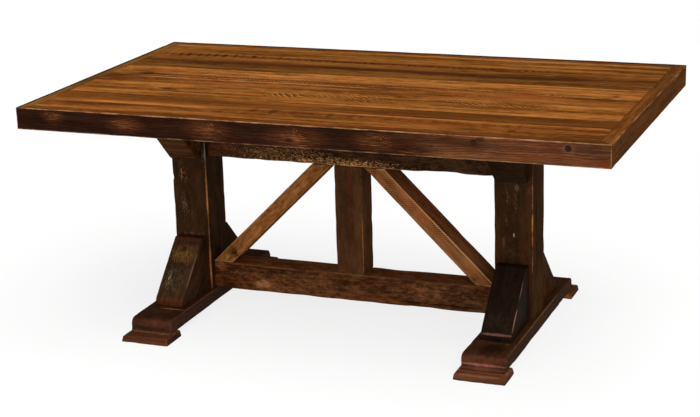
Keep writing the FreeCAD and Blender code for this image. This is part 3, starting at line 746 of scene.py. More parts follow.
APRON_MARKS = on_front(
    [(x, z, wide * 1.6, high * 1.4, HALO, 0.6, 0.6) for x, z, wide, high in WORN_APRON]
    + [(x, z, wide, high, SCRATCH, 0.8, FLECKED) for x, z, wide, high in WORN_APRON]
    + [(-16, 716, 12, 8, (30, 14, 9), 0.7, 1.0),
       (-16, 716, 26, 16, (44, 22, 14), 0.5, FLECKED),
       (-791, 744, 6, 8, (24, 12, 8), 0.8, 0.6),
       (550, 756, 14, 8, (40, 24, 20), 0.65, 1.2),
       (545, 738, 40, 20, PURPLE, 0.6, FLECKED),
       (868, 742, 40, 22, PURPLE, 0.5, FLECKED),
       (470, 705, 260, 9, (140, 80, 42), 0.4, FLECKED),
       (690, 712, 60, 16, (140, 78, 42), 0.35, 1.2),
       (893, 707, 20, 14, (120, 48, 28), 0.6, 1.2),
       (800, 743, 20, 19, (134, 90, 62), 0.5, 1.0)])


def edge_look(name, seed, **changes):
    look = dict(base=(88, 51, 25), contrast=0.7, rings=0.5, ring_gap=8.0, pith=140.0,
                wiggle=3.0, figure=EDGE_FIGURE, arris_tone=ARRIS_TAN, arris_amount=0.75,
                crown=(BOARD_TOP, 0.8), mark_cell=(44, 2.4), hue=0.7)
    look.update(changes)
    return wood(name, seed=seed, **look)


def mitred_board(node, material, lengthwise, seed, bungs=(), worn=(), chips=14):
    """An edge board: its ends run out to the corners of the top at 45 degrees."""
    low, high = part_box(node)
    length_axis = 0 if lengthwise else 1
    width_axis = 1 - length_axis
    half_long = high[length_axis]
    half_wide = max(abs(low[width_axis]), abs(high[width_axis]))
    outer_first = low[width_axis] < 0
    outer = OUTER_CORNERS[lengthwise, outer_first]
    radii = [EDGE_ARRIS if corner in outer else INNER_ARRIS for corner in range(4)]
    form = box_form(node, "yzx" if lengthwise else "zxy", radii, INNER_ARRIS, EDGE_STEP)
    inside = half_wide - np.abs(form.points[:, width_axis])
    form.points[:, length_axis] *= (half_long - inside) / half_long
    form.start = form.points.copy()
    along = (1, 0, 0) if lengthwise else (0, 1, 0)
    sunk = spots(form, bungs)
    weather(form, along, seed, chips, wave=0.12, soften=0.2, chip_size=0.005, chip_depth=0.0009)
    form.sink(sunk * 0.5 * MM)
    make_piece(node, form, material, along,
               np.cross((0, 0, 1), along) + np.array((0, 0, 1)), worn, 0.0)


EDGE_BUNG_RADIUS, EDGE_BUNG_HEIGHT, EDGE_BUNG_COUNT = 9.5, 744, 7


def bung_spots(side):
    """The places of one edge board's bungs, as spots where its surface is sunk."""
    low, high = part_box("edge_board_bungs")
    first = low[0] + EDGE_BUNG_RADIUS * MM
    gap = (high[0] - low[0] - 2 * EDGE_BUNG_RADIUS * MM) / (EDGE_BUNG_COUNT - 1)
    return [(((first + gap * i) / MM, side * HALF_WIDTH, EDGE_BUNG_HEIGHT), (24, 40, 24), 1.0)
            for i in range(EDGE_BUNG_COUNT)]


def make_edges():
    front = edge_look("front_edge_wood", 21, base=APRON_BASE, turns_to=(APRON_PALE, 230, 600),
                      hue=1.4, rings=1.7, ring_gap=5.5, wiggle=5.5, contrast=0.8,
                      crown=((106, 59, 22), 0.8),
                      marks=APRON_MARKS
                      + [((300, -519, 762), (640, 7, 3), (82, 38, 18), 0.6, 1.1)])
    # Its outer arrises face the light and are painted light: worn edge and painted highlight.
    mitred_board("front_edge_board", front, True, 310, bung_spots(-1),
                 [((0, -527, 728), (WHOLE, 8, 60), 1.0)], chips=40)
    rear = edge_look("rear_edge_wood", 23, base=(62, 34, 18), hue=1.4, arris_tone=ARRIS_PAINTED_SHADE,
                     arris_amount=0.9,
                     marks=[((x, 527, 722), (64, 12, 24), SCRATCH, 0.6, FLECKED)
                            for x in (-700, -260, 330, 640)]
                     # The rear board's outer top arris and this strip of top along it are painted
                     # dark, as painted shade.
                     + [((0, 527, 762), (WHOLE, 22, 9), (44, 26, 12), 0.95, 0.3)])
    mitred_board("rear_edge_board", rear, True, 330, bung_spots(1),
                 [((0, 527, 762), (WHOLE, 12, 12), 1.0)])
    right = edge_look("right_end_wood", 25, base=(90, 53, 21), arris_tone=(210, 156, 116),
                      arris_amount=0.85, contrast=0.6, crown=((104, 60, 23), 0.8),
                      marks=[((890, -490, 762), (60, 110, 8), (124, 76, 32), 0.5, 0.5),
                             ((890, 330, 762), (60, 300, 8), (92, 54, 22), 0.5, 0.5),
                             ((914, 370, 757), (12, 50, 9), (176, 120, 72), 0.6, FLECKED),
                             ((914, -422, 743), (12, 7, 6), (36, 18, 10), 0.9, 0.6),
                             ((914, -364, 706), (12, 6, 5), (36, 18, 10), 0.9, 0.6),
                             ((914, -470, 716), (12, 40, 22), (118, 66, 34), 0.5, FLECKED)])
    # Its outer arrises face the light and are painted light: worn edge and painted highlight.
    mitred_board("right_end_board", right, False, 350, (),
                 [((914, 0, 762), (12, WHOLE, 12), 0.62), ((914, -527, 728), (8, 12, 60), 0.7)])
    left = edge_look("left_end_wood", 27, base=(84, 49, 25), arris_tone=ARRIS_PAINTED_SHADE,
                     arris_amount=0.9, crown=((112, 73, 31), 0.8),
                     marks=[((-914, -200, 724), (12, 60, 20), SCRATCH, 0.5, FLECKED),
                            # A painted highlight on the top near the front.
                            ((-890, -470, 762), (60, 130, 8), (140, 94, 44), 0.6, 0.5),
                            # The left board's outer top arris and this strip of top along it are
                            # painted dark, as painted shade.
                            ((-914, 0, 762), (12, WHOLE, 8), (44, 26, 11), 0.95, 0.2)])
    mitred_board("left_end_board", left, False, 370, (),
                 [((-914, 0, 762), (12, WHOLE, 12), 1.0)])


make_edges()

# The base ----------------------------------------------------------------------

BASE_STEP = 0.012
POST_ARRIS = 3.0 * MM
BRACE_NOSE, BRACE_LEDGE, BRACE_REACH = 20 * MM, 32 * MM, 195 * MM
RUNNER_SHOULDER, RUNNER_COVE, RUNNER_LIP = 24 * MM, 12 * MM, 3 * MM
BASE_BROWN = (67, 42, 21)
# The gold tone is a painted highlight along the posts' lit front arris, partly worn edge.
GREY_FLECK, GOLD_HIGHLIGHT, BRUISE = (122, 106, 88), (214, 146, 70), (24, 14, 9)
SIDES = ("left", "right")
POST_MARKS = {
    "left": [((-526, -65, 524), (10, 6, 34), GREY_FLECK, 0.8, FLECKED),
             # The marks at x -518 are painted highlights along the lit front-right arris, partly
             # worn edge.
             ((-518, -65, 528), (4, 4, 42), (168, 156, 134), 0.85, 0.7),
             ((-518, -65, 390), (4.5, 4.5, 105), GOLD_HIGHLIGHT, 0.95, 0.7),
             ((-518, -65, 258), (3.5, 3.5, 50), (160, 104, 84), 0.8, 0.9),
             ((-518, -66, 150), (6, 6, 90), (206, 130, 76), 0.9, 0.9),
             ((-607, -65, 452), (11, 5, 24), (196, 144, 84), 0.85, FLECKED),
             ((-607, -65, 490), (9, 5, 20), GREY_FLECK, 0.6, FLECKED),
             ((-593, -65, 438), (11, 5, 14), GREY_FLECK, 0.55, FLECKED),
             ((-605, -65, 352), (13, 5, 46), (134, 108, 92), 0.7, FLECKED),
             ((-574, -65, 318), (26, 5, 20), (96, 74, 58), 0.5, FLECKED),
             ((-588, -65, 378), (14, 5, 22), BRUISE, 0.6, FLECKED),
             ((-600, -65, 466), (24, 5, 26), (86, 44, 24), 0.5, FLECKED),
             ((-579, -65, 252), (52, 5, 6), (126, 96, 74), 0.55, FLECKED)],
    "right": [((522, -65, 487), (11, 5, 16), (150, 112, 92), 0.75, FLECKED),
              ((522, -65, 487), (7, 5, 10), (140, 100, 84), 0.45, 1.4),
              ((559, -65, 481), (6, 5, 15), (110, 58, 48), 0.5, 1.4),
              ((492, -65, 460), (5, 5, 34), GREY_FLECK, 0.6, FLECKED),
              ((488, -65, 380), (5, 5, 22), GREY_FLECK, 0.6, FLECKED),
              ((519, -65, 440), (6, 5, 30), GREY_FLECK, 0.5, FLECKED),
              ((480, -65, 311), (6, 5, 17), (120, 68, 60), 0.6, 1.3),
              ((512, -65, 337), (3, 5, 7), (190, 176, 158), 0.8, 0.9),
              ((505, -65, 282), (28, 5, 28), (104, 78, 60), 0.4, FLECKED),
              # The marks at x 572 are painted highlights along the lit front-right arris, partly
              # worn edge.
              ((572, -65, 470), (3.5, 3.5, 66), (156, 106, 80), 0.85, 1.0),
              ((572, -65, 377), (4.5, 4.5, 32), GOLD_HIGHLIGHT, 0.9, 0.9),
              ((572, -65, 324), (4, 4, 24), (178, 92, 58), 0.8, 0.9),
              ((572, -65, 250), (3.5, 3.5, 46), (146, 96, 86), 0.8, 1.0)]}


def base_look(node, seed, **changes):
    look = dict(base=BASE_BROWN, contrast=0.75, rings=0.25, ring_gap=7.0, figure=BASE_FIGURE,
                hue=1.2, wander=4.0, coat=0.012,
                flecks=[((104, 76, 46), 0.4, 12, 5.0), ((30, 17, 8), 0.5, 10, 6.0)],
                arris_tone=(168, 116, 76), arris_amount=0.7)
    look.update(changes)
    return wood(f"{node}_wood", seed=seed, **look)


def make_posts():
    for number, side in enumerate(SIDES):
        node = f"{side}_post"
        form = box_form(node, "xyz", POST_ARRIS, 1.0 * MM, BASE_STEP)
        weather(form, (0, 0, 1), 410 + number * 20, 26)
        if side == "left":
            form.sink(spots(form, [((-640, -65, 440), (6, 14, 6), 1.0)]) * 4 * MM)
        material = base_look(node, 31 + number * 2, marks=POST_MARKS[side],
                             mark_cell=(12, 6))
        make_piece(node, form, material, (0, 0, 1), (1, 0, 0))


def knee_outline(low, high, sign, upwards):
    """The outline of a knee brace in Y and Z, anticlockwise."""
    post = low[1] if sign > 0 else high[1]
    foot = low[2] if upwards else high[2]
    tip = high[2] if upwards else low[2]
    lift = 1 if upwards else -1
    corners = [(post, foot), (post + sign * BRACE_REACH, foot),
               (post + sign * BRACE_REACH, foot + lift * BRACE_NOSE),
               (post + sign * BRACE_LEDGE, tip), (post, tip)]
    return corners if sign * lift > 0 else corners[::-1]


BRACE_TOP = (104, 50, 30)
BRACE_LOOKS = {
    "left_front_upper": dict(base=(90, 56, 28), contrast=1.1, figure=SAWN_FIGURE,
                             crosswise=True),
    "right_front_upper": dict(base=(50, 32, 18), crosswise=True,
                              marks=[((511, -250, 672), (60, 14, 14), (110, 74, 44),
                                      0.5, FLECKED)]),
    "left_front_lower": dict(
        base=(72, 50, 33), contrast=0.9,
        marks=[((-579, -98, 246), (60, 10, 14), BRACE_TOP, 0.6, 0.8),
               ((-579, -262, 80), (60, 14, 20), BRACE_TOP, 0.6, 0.8),
               ((-588, -200, 144), (50, 60, 60), (104, 94, 72), 0.6, FLECKED),
               ((-574, -138, 206), (46, 34, 34), (116, 80, 46), 0.75, 1.0),
               ((-586, -144, 200), (40, 36, 36), (172, 128, 76), 0.75, FLECKED),
               ((-600, -205, 139), (8, 36, 36), (190, 170, 130), 0.7, FLECKED)],
        # The right arris, on the lit side, is painted light: worn edge and painted highlight.
        worn=[((-531, -180, 165), (12, 90, 90), 1.3)], arris_tone=(158, 120, 102)),
    "right_front_lower": dict(
        base=(40, 26, 18), contrast=0.7, flecks=(), coat=0.03,
        marks=[((506, -225, 119), (36, 32, 32), (84, 68, 54), 0.3, FLECKED),
               # A painted highlight along the top edge of the nose.
               ((511, -260, 85), (56, 5, 5), (150, 100, 84), 0.75, 0.7)],
        # The right arrises, on the lit side, are painted light: worn edge and painted highlight.
        worn=[((559, -150, 194), (12, 60, 60), 0.9), ((559, -225, 120), (12, 50, 50), 1.3)],
        arris_tone=(196, 130, 88)),
}


def make_braces():
    knees = product(SIDES, ("front", "rear"), ("lower", "upper"))
    for number, (side, end, level) in enumerate(knees):
        node = f"{side}_{end}_{level}_brace"
        low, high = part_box(node)
        sign = -1 if end == "front" else 1
        upwards = level == "lower"
        corners = knee_outline(low, high, sign, upwards)
        form = Form(corners, [2.5 * MM] * 5, "yzx", low[0], high[0], 2.0 * MM, 0.010)
        weather(form, (0, 1, 0), 500 + number * 9, 14, chip_size=0.006, chip_depth=0.0012)
        look = dict(BRACE_LOOKS.get(f"{side}_{end}_{level}", {}))
        worn = look.pop("worn", ())
        slope = (0, sign, -1 if upwards else 1)
        grain, across = ((1, 0, 0), slope) if look.pop("crosswise", False) else (slope, (1, 0, 0))
        material = base_look(node, 50 + number * 3, mark_cell=(14, 4), **look)
        make_piece(node, form, material, grain, across, worn)


RUNNER_LOOKS = {
    "left": dict(base=(64, 37, 22),
                 # The first two marks are painted highlights: on the rounded shoulder and along
                 # the foot of the nose.
                 marks=[((-579, -382, 50), (80, 16, 13), (92, 50, 32), 0.6, 0.3),
                        ((-579, -396, 24), (80, 8, 4), (124, 82, 56), 0.6, 1.2),
                        # Painted shade on the top, just in front of the brace toe.
                        ((-575, -345, 64), (44, 24, 6), (34, 20, 14), 0.5, 1.4),
                        ((-556, -278, 64), (46, 3.5, 4), (160, 128, 98), 0.75, 1.0),
                        # A painted highlight along the lit right arris of the top.
                        ((-510, -150, 64), (3, 260, 3), (130, 90, 58), 0.5, 1.2)]),
    "right": dict(base=(64, 38, 22),
                  # The first two marks are painted highlights: on the rounded shoulder and along
                  # the foot of the rounding.
                  marks=[((511, -382, 50), (84, 16, 13), (98, 53, 33), 0.65, 0.3),
                         ((511, -388, 37), (84, 9, 4.5), (164, 102, 84), 0.8, 0.5),
                         # Painted shade on the top, just in front of the brace toe.
                         ((515, -320, 64), (60, 30, 6), (38, 24, 16), 0.6, 1.2),
                         ((528, -274, 64), (60, 5, 4), (120, 88, 60), 0.7, FLECKED),
                         # The cove is painted lighter, as painted light.
                         ((511, -395, 27), (84, 10, 6), (106, 62, 45), 0.6, 0.5),
                         # A painted highlight along the lit right arris of the top.
                         ((580, -80, 64), (3, 340, 3), (140, 96, 56), 0.5, 1.2)]),
}


def make_feet():
    for number, side in enumerate(SIDES):
        node = f"{side}_foot_runner"
        low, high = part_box(node)
        reach, foot, top = high[1], low[2], high[2]
        nose = reach - RUNNER_COVE
        half = [(reach, foot), (reach, foot + RUNNER_LIP), (nose, foot + RUNNER_LIP), (nose, top)]
        corners = half + [(-y, z) for y, z in reversed(half)]
        round_half = [1.0 * MM, 0.9 * MM, RUNNER_COVE - 1.2 * MM, RUNNER_SHOULDER - 1.0 * MM]
        form = Form(corners, round_half + round_half[::-1], "yzx", low[0], high[0], 2.5 * MM,
                    0.010)
        weather(form, (0, 1, 0), 610 + number * 20, 18, wave=0.5, soften=0.8, chip_size=0.008,
                chip_depth=0.0018)
        material = base_look(node, 71 + number * 2, coat=0.035, roughness=0.4,
                             flecks=(), **RUNNER_LOOKS[side])
        make_piece(node, form, material, (0, 1, 0), (1, 0, 0))
        for end, sign in (("front", -1), ("rear", 1)):
            make_pad(f"{side}_{end}_pad", sign, 81 + number * 4 + sign)


PAD_LOOKS = {
    "left_front_pad": dict(base=(90, 50, 31),
                           # The first mark is a painted highlight along the top front edge.
                           marks=[((-579, -433, 20), (90, 9, 4), (136, 80, 50), 0.4, 1.0),
                                  ((-497, -388, 8), (6, 80, 18), (52, 29, 18), 0.9, 0.3)]),
    "right_front_pad": dict(base=(106, 62, 41),
                            # The first mark is a painted highlight along the top front edge.
                            marks=[((511, -433, 20), (90, 9, 4), (160, 104, 78), 0.5, 1.0),
                                   ((593, -388, 8), (6, 80, 18), (66, 38, 26), 0.85, 0.3)]),
    "right_rear_pad": dict(base=(84, 46, 26),
                           marks=[((552, 338, 10), (44, 8, 12), (176, 124, 70), 0.85, 0.7)]),
}
PAD_ROUND = 11 * MM


def make_pad(node, sign, seed):
    """A floor pad with its proud upper edges rounded back."""
    low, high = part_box(node)
    corners = rectangle((low[0], low[1]), (high[0], high[1]))
    form = Form(corners, [2.5 * MM] * 4, "xyz", low[2], high[2], 1.5 * MM, 0.010)
    gone = np.clip((form.points[:, 2] - (high[2] - PAD_ROUND)) / PAD_ROUND, 0, 1)
    inset = PAD_ROUND * (1 - np.sqrt(np.clip(1 - gone ** 2, 0, 1)))
    for axis, sides in ((0, (-1, 1)), (1, (sign,))):
        middle = (low[axis] + high[axis]) / 2
        half = (high[axis] - low[axis]) / 2
        for way in sides:
            outwards = (form.points[:, axis] - middle) * way
            share = np.clip(outwards / half, 0, 1)
            form.points[:, axis] -= way * inset * share
    weather(form, (0, 1, 0), seed * 10, 8, wave=0.5, soften=0.8, chip_size=0.008)
    look = dict(base=(84, 46, 28), figure=SAWN_FIGURE, flecks=(), coat=0.03)
    look.update(PAD_LOOKS.get(node, {}))
    material = base_look(node, seed, **look)
    make_piece(node, form, material, (1, 0, 0), (0, 1, 0), least_worn=0.6)


make_posts()
make_braces()
make_feet()

# The truss ---------------------------------------------------------------------

TENON = 40 * MM
KING_TENON = 25 * MM
DIAGONAL_THICK = 47 * MM
RIDGE_SPOTS = 16
FITTING_ROUNDS = 20         # far more than the width needs to settle
RAGGED_HEIGHT = 0.02        # how far up the top rail's ragged lower edge reaches
DIAGONAL_MARKS = {"left": [((-446, -24, 192), (26, 30, 22), (92, 48, 24), 0.75, 1.1),
                           ((-441, -24, 186), (15, 30, 13), (46, 22, 10), 0.95, 0.9)],
                  "right": [((410, -24, 200), (150, 60, 150), (184, 118, 70), 0.5, 1.0),
                            ((60, -24, 500), (120, 12, 110), (112, 72, 38), 0.5, 0.8)]}
DIAGONAL_BASES = {"left": (160, 102, 52), "right": (168, 106, 62)}


def shoulders(node, axis, tenon):
    """A rail's box between its tenons."""
    low, high = (np.array(corner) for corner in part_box(node))
    low[axis] += tenon
    high[axis] -= tenon
    return low, high


RAIL_LOOKS = {
    "stretcher": dict(
        slot="stretcher_wood", seed=91, base=(98, 57, 30), saw=0.15,
        # The upper face is painted lighter, as painted light, to make up for the shade under the
        # top.
        crown=((120, 72, 37), 0.7),
        marks=[((-230, -43, 100), (190, 8, 46), (146, 92, 50), 0.6, FLECKED),
               ((-346, -43, 90), (32, 8, 14), (176, 122, 72), 0.8, 1.1),
               ((-493, -43, 142), (22, 8, 14), (160, 102, 66), 0.8, 1.1),
               ((-430, -43, 118), (40, 8, 16), (120, 96, 78), 0.5, FLECKED),
               # Light lines along the top arris: worn edge and painted highlight.
               ((-345, -43, 153), (130, 8, 5), (176, 108, 66), 0.9, 1.2),
               ((-60, -43, 154), (180, 6, 4), (164, 102, 62), 0.75, 1.3),
               ((290, -43, 154), (260, 5, 3.5), (140, 88, 56), 0.65, 1.5),
               ((260, -43, 120), (190, 8, 30), (156, 116, 80), 0.4, FLECKED),
               ((-60, -43, 112), (26, 8, 50), (44, 26, 16), 0.6, FLECKED),
               ((280, -43, 80), (170, 8, 3), (34, 18, 11), 0.8, 0.9)]),
    "top_rail": dict(
        slot="rail_wood", seed=93, base=(68, 42, 24), saw=0.5, saw_tilt=0.9,
        marks=[((-470, -44, 530), (80, 8, 26), (104, 52, 33), 0.7, 1.2),
               ((-250, -44, 534), (190, 8, 28), (188, 132, 78), 0.8, FLECKED),
               ((-80, -44, 522), (240, 8, 15), (255, 188, 112), 0.95, FLECKED),
               # A painted highlight along the lower edge.
               ((-60, -44, 511), (270, 6, 4), (222, 168, 112), 0.85, 1.2),
               ((300, -44, 511), (190, 6, 3.5), (150, 118, 86), 0.7, 1.4)],
        mark_cell=(8, 4),
        # Dark slanting saw marks over the upper band, which also paint it darker as painted shade
        # under the top.
        chatter=[(544, 28, -460, 170, 10, 1.0, (42, 24, 14), 0.85)]),
}


def make_rails():
    for node, look in RAIL_LOOKS.items():
        look = dict(look)
        slot, seed = look.pop("slot"), look.pop("seed")
        low, high = shoulders(node, 0, TENON)
        corners = rectangle(low[1:], high[1:])
        form = Form(corners, [3.0 * MM] * 4, "yzx", low[0], high[0], 1.0 * MM, 0.010)
        weather(form, (1, 0, 0), seed * 8, 30, wave=0.7, soften=0.7, chip_size=0.012,
                chip_depth=0.0025)
        if node == "top_rail":
            near_edge = np.clip(1 - (form.start[:, 2] - low[2]) / RAGGED_HEIGHT, 0, 1)
            ragged = 0.5 + 0.5 * ripple(form.start * (1, 0, 0), 0.06, 77)
            form.points[:, 2] += near_edge * np.clip(ragged, 0, 1.5) * 2 * MM
        else:
            form.sink(spots(form, [((-350, -43, 155), (110, 14, 10), 1.0)]) * 3 * MM)
        material = wood(f"{node}_wood", seed=seed, contrast=1.0, rings=0.3, ring_gap=8.0,
                        figure=ROUGH_FIGURE, arris_tone=(164, 112, 68), arris_amount=0.6,
                        saw_pitch=9.0, roughness=0.5, **look)
        make_piece(node, form, material, (1, 0, 0), (0, 0, 1))


def make_king_post():
    low, high = shoulders("king_post", 2, KING_TENON)
    form = Form(rectangle(low[:2], high[:2]), [2.0 * MM] * 4, "xyz", low[2], high[2], 1.0 * MM,
                0.010)
    weather(form, (0, 0, 1), 820, 12, chip_depth=0.0012)
    edge = high[0] / MM
    material = base_look("king_post", 95, base=(86, 53, 30), saw=0.25, saw_pitch=7.0, flecks=(),
                         # The right side face is painted lighter, as painted light, and its
                         # front-right arris carries a painted highlight.
                         marks=[((edge, 0, 330), (5, 60, 300), (104, 66, 34), 0.6, 0.6),
                                ((edge, -45, 330), (2.8, 2.8, 200), (196, 128, 74), 0.65, 1.1)])
    make_piece("king_post", form, material, (0, 0, 1), (1, 0, 0))


def make_diagonals():
    for side, sign in (("left", -1), ("right", 1)):
        node = f"{side}_diagonal"
        low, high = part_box(node)
        foot_x, head_x = (low[0], high[0]) if sign < 0 else (high[0], low[0])
        run, rise = abs(head_x - foot_x), high[2] - low[2]
        width = diagonal_width(run, rise)
        corners = [(low[2], foot_x), (high[2], head_x + sign * width), (high[2], head_x),
                   (low[2], foot_x - sign * width)]
        if sign > 0:
            corners = corners[::-1]
        form = Form(corners, [2.0 * MM] * 4, "zxy", low[1], high[1], 2.0 * MM, 0.010)
        weather(form, (1, 0, 1), 840 + sign, 10, chip_size=0.008)
        figure, saw, tilt = ((PLANED_FIGURE, 0.9, 0.9) if sign > 0 else
                             (SPECKLED_FIGURE, 0.4, 0.0))
        material = wood(f"{node}_wood", DIAGONAL_BASES[side], 97 + sign, 0.8, rings=0.1,
                        figure=figure, crown=((140, 83, 44), 0.8),
                        arris_tone=(232, 178, 128), arris_amount=0.95, saw=saw,
                        saw_pitch=8.5, saw_tilt=tilt, roughness=0.5,
                        marks=DIAGONAL_MARKS[side])
        grain = (-sign * (run - width), 0, rise)
        # Spots along the right diagonal's ridge, where its arris is painted light as a highlight,
        # partly worn edge.
        ridge = [(((foot_x + (head_x + sign * width - foot_x) * share) / MM, low[1] / MM,
                   (low[2] + rise * share) / MM), (34, 34, 34), 1.3)
                 for share in np.linspace(0, 1, RIDGE_SPOTS) if sign > 0]
        make_piece(node, form, material, grain,
                   (rise, 0, sign * (run - width)), ridge, 0.55 if sign > 0 else 0.7)


def diagonal_width(run, rise):
    """Plan width of a diagonal's slanted end, from its thickness across the slope."""
    width = DIAGONAL_THICK
    for _ in range(FITTING_ROUNDS):
        width = DIAGONAL_THICK * math.hypot(run - width, rise) / rise
    return width


make_rails()
make_king_post()
make_diagonals()

# Bungs and carried-over solids ---------------------------------------------------

BUNG_SIDES = 28
BRACE_BUNG_RADIUS = 11
BRACE_BUNGS = ((127, 217), (235, 649))    # how far out and how high, in millimetres


def bung_form(places, radius, normal_of):
    """Round wooden bungs, each with a small chamfer and a dark glue line round it."""
    points, reach, faces = [], [], []
    profile = [(0.5, 0.0, 1.0), (0.86, 0.0, 1.0), (0.94, 0.2, 0.002), (0.98, 0.35, 0.0),
               (1.0, 0.6, 0.0), (1.0, 4.0, 0.0)]
    for centre in places:
        normal = Vector(normal_of(centre)).normalized()
        side = normal.orthogonal().normalized()
        up = normal.cross(side)
        first = len(points)
        for share, depth, far in profile:
            for i in range(BUNG_SIDES):
                angle = math.tau * i / BUNG_SIDES
                spoke = (side * math.cos(angle) + up * math.sin(angle)) * radius * share
                points.append(tuple(Vector(centre) + spoke - normal * (depth + 0.15) * MM))
                reach.append(far)
        for row in range(len(profile) - 1):
            inner, outer = first + row * BUNG_SIDES, first + (row + 1) * BUNG_SIDES
            for i in range(BUNG_SIDES):
                after = (i + 1) % BUNG_SIDES
                faces.append((inner + i, outer + i, outer + after, inner + after))
        faces.append(tuple(range(first, first + BUNG_SIDES)))
    form = Form.__new__(Form)
    form.points = np.array(points)
    form.start = form.points.copy()
    form.reach = np.array(reach)
    form.faces = faces
    form.ways = np.zeros_like(form.points)
    return form


def make_bungs():
    low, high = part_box("edge_board_bungs")
    middle_z = (low[2] + high[2]) / 2
    places = [(x * MM, side * HALF_WIDTH * MM, middle_z)
              for side in (-1, 1) for (x, _, _), _, _ in bung_spots(side)]
    form = bung_form(places, EDGE_BUNG_RADIUS * MM, lambda place: (0, place[1], 0))
    material = wood("edge_bung_wood", (58, 30, 21), 5, 0.7, arris_tone=(30, 16, 10),
                    arris_amount=0.6, marks=APRON_MARKS[:10])
    make_piece("edge_board_bungs", form, material, (0, 1, 0), (1, 0, 0), kind="wood")
    places = []
    for side in SIDES:
        low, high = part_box(f"{side}_post")
        middle = (low[0] + high[0]) / 2
        for sign in (-1, 1):
            places += [(middle, sign * out * MM, height * MM) for out, height in BRACE_BUNGS]
    form = bung_form(places, BRACE_BUNG_RADIUS * MM,
                     lambda place: (0, place[1] / abs(place[1]), 1 if place[2] < 0.4 else -1))
    material = wood("brace_bung_wood", (90, 48, 18), 6, 0.7, arris_tone=(34, 18, 9),
                    arris_amount=0.9,
                    marks=[((511, 0, 217), (60, 400, 60), (46, 28, 18), 0.95, 0.3)])
    make_piece("brace_bungs", form, material, (0, 1, 1), (1, 0, 0), kind="wood")


def dress_cad_nodes():
    """Hidden solids keep their CAD shape and get sawn timber, dowel or steel finishes."""
    sawn = wood("sawn_batten_wood", (104, 68, 40), 61, 0.8, saw=1.0, saw_pitch=5.0,
                roughness=0.6, coat=0.0, place=model_place("y"))
    dowel = wood("dowel_wood", (156, 110, 66), 63, 0.5, roughness=0.5,
                 place=model_place("z"))
    metal = steel("screw_steel")
    finishes = {"batten": sawn, "bolster": sawn, "dowels": dowel, "screws": metal,
                "bolts": metal}
    for name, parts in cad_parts.items():
        for word, finish in finishes.items():
            if name.endswith(word):
                for part in parts if isinstance(parts, (list, tuple)) else [parts]:
                    for place in range(len(part.material_slots)):
                        part.material_slots[place].material = finish


make_bungs()
dress_cad_nodes()

# Camera, lights, floor ---------------------------------------------------------

CAMERA_PLACE = (1.8925, -4.8566, 1.9074)
CAMERA_AZIMUTH, CAMERA_FALL, CAMERA_ROLL = 21.77, 16.49, -1.85
CAMERA_LENS = 88.06
SENSOR = 36.0


def make_camera():
    azimuth, fall, roll = (math.radians(angle)
                           for angle in (CAMERA_AZIMUTH, CAMERA_FALL, CAMERA_ROLL))
    ahead = Vector((-math.sin(azimuth) * math.cos(fall), math.cos(azimuth) * math.cos(fall),
                    -math.sin(fall)))
    right = Vector((math.cos(azimuth), math.sin(azimuth), 0))
    up = right.cross(ahead)
    tilted_right = right * math.cos(roll) + up * math.sin(roll)
    tilted_up = up * math.cos(roll) - right * math.sin(roll)
    data = bpy.data.cameras.new("camera")
    data.lens = CAMERA_LENS
    data.sensor_width = SENSOR
    camera = bpy.data.objects.new("camera", data)
    turn = Matrix((tilted_right, tilted_up, -ahead)).transposed().to_4x4()
    camera.matrix_world = Matrix.Translation(CAMERA_PLACE) @ turn
    bpy.context.scene.collection.objects.link(camera)
    bpy.context.scene.camera = camera


FLOOR_RADIUS = 40.0
BACKDROP_HEIGHT = 6.5
ROUND_STEPS = 96
PAPER = tone(196, 196, 195)
WORLD_COLOUR = (0.96, 0.98, 1.0, 1.0)
WORLD_LEVEL = 0.22
WHITE_SHARE = 0.82


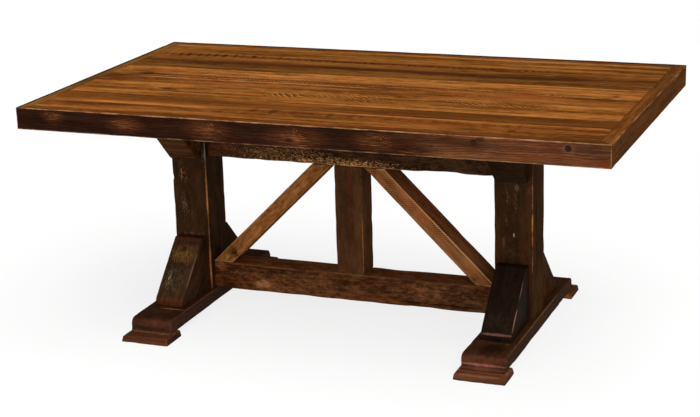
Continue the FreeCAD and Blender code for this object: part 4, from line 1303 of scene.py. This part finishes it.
def paper(name, white_share):
    """Pale studio paper: white for the camera and in reflections, but for its shadows."""
    graph = Graph(name)
    where = graph.node("ShaderNodeTexCoord", {}).outputs["Object"]
    cloud = graph.noise(where, (0.4, 0.4, 0.4), 2, 2.0)
    path = graph.node("ShaderNodeLightPath", {}).outputs
    seen = graph.math("MAXIMUM", path["Is Camera Ray"],
                      graph.math("MAXIMUM", path["Is Glossy Ray"], path["Is Transmission Ray"]))
    shade = graph.mixed(graph.between(cloud, 0.3, 0.7), PAPER, shaded(PAPER, 0.98, 0.98, 0.98))
    shade = graph.mixed(seen, shade, (1, 1, 1, 1))
    plain = graph.node("ShaderNodeBsdfDiffuse", {"Color": shade}).outputs[0]
    white = graph.node("ShaderNodeEmission", {"Color": (1, 1, 1, 1), "Strength": 1.0}).outputs[0]
    both = graph.node("ShaderNodeMixShader",
                      {0: graph.times(seen, white_share), 1: plain, 2: white})
    end = graph.node("ShaderNodeOutputMaterial", {})
    graph.tree.links.new(both.outputs[0], end.inputs[0])
    return graph.material


def stage_piece(name, points, faces, material):
    mesh = bpy.data.meshes.new(name)
    mesh.from_pydata(points, [], faces)
    mesh.materials.append(material)
    thing = bpy.data.objects.new(name, mesh)
    bpy.context.scene.collection.objects.link(thing)


def make_stage():
    """A round pale floor, and a low white backdrop round its edge."""
    rim = [(FLOOR_RADIUS * math.cos(math.tau * i / ROUND_STEPS),
            FLOOR_RADIUS * math.sin(math.tau * i / ROUND_STEPS)) for i in range(ROUND_STEPS)]
    floor = [(x, y, 0) for x, y in rim]
    stage_piece("floor", floor, [tuple(range(ROUND_STEPS))], paper("floor_paper", WHITE_SHARE))
    wall = floor + [(x, y, BACKDROP_HEIGHT) for x, y in rim]
    faces = [(i, (i + 1) % ROUND_STEPS, (i + 1) % ROUND_STEPS + ROUND_STEPS, i + ROUND_STEPS)
             for i in range(ROUND_STEPS)]
    stage_piece("backdrop", wall, faces, paper("backdrop_paper", 1.0))


def make_world():
    """Even, weak light from all round."""
    world = bpy.data.worlds.new("studio")
    world.use_nodes = True
    light = world.node_tree.nodes["Background"]
    light.inputs["Color"].default_value = WORLD_COLOUR
    light.inputs["Strength"].default_value = WORLD_LEVEL
    bpy.context.scene.world = world


def make_sun(name, source, strength, spread, colour):
    data = bpy.data.lights.new(name, "SUN")
    data.energy = strength
    data.angle = math.radians(spread)
    data.color = colour
    light = bpy.data.objects.new(name, data)
    light.rotation_euler = (-Vector(source)).to_track_quat("-Z", "Y").to_euler()
    bpy.context.scene.collection.objects.link(light)


make_camera()
make_stage()
make_world()
make_sun("high_soft_light", (0.30, -0.20, 1.0), 2.35, 55, (1.0, 0.99, 0.97))
make_sun("front_soft_light", (0.6, -1.0, 0.42), 1.62, 80, (1.0, 0.99, 0.96))
bpy.context.scene.view_settings.view_transform = "Standard"
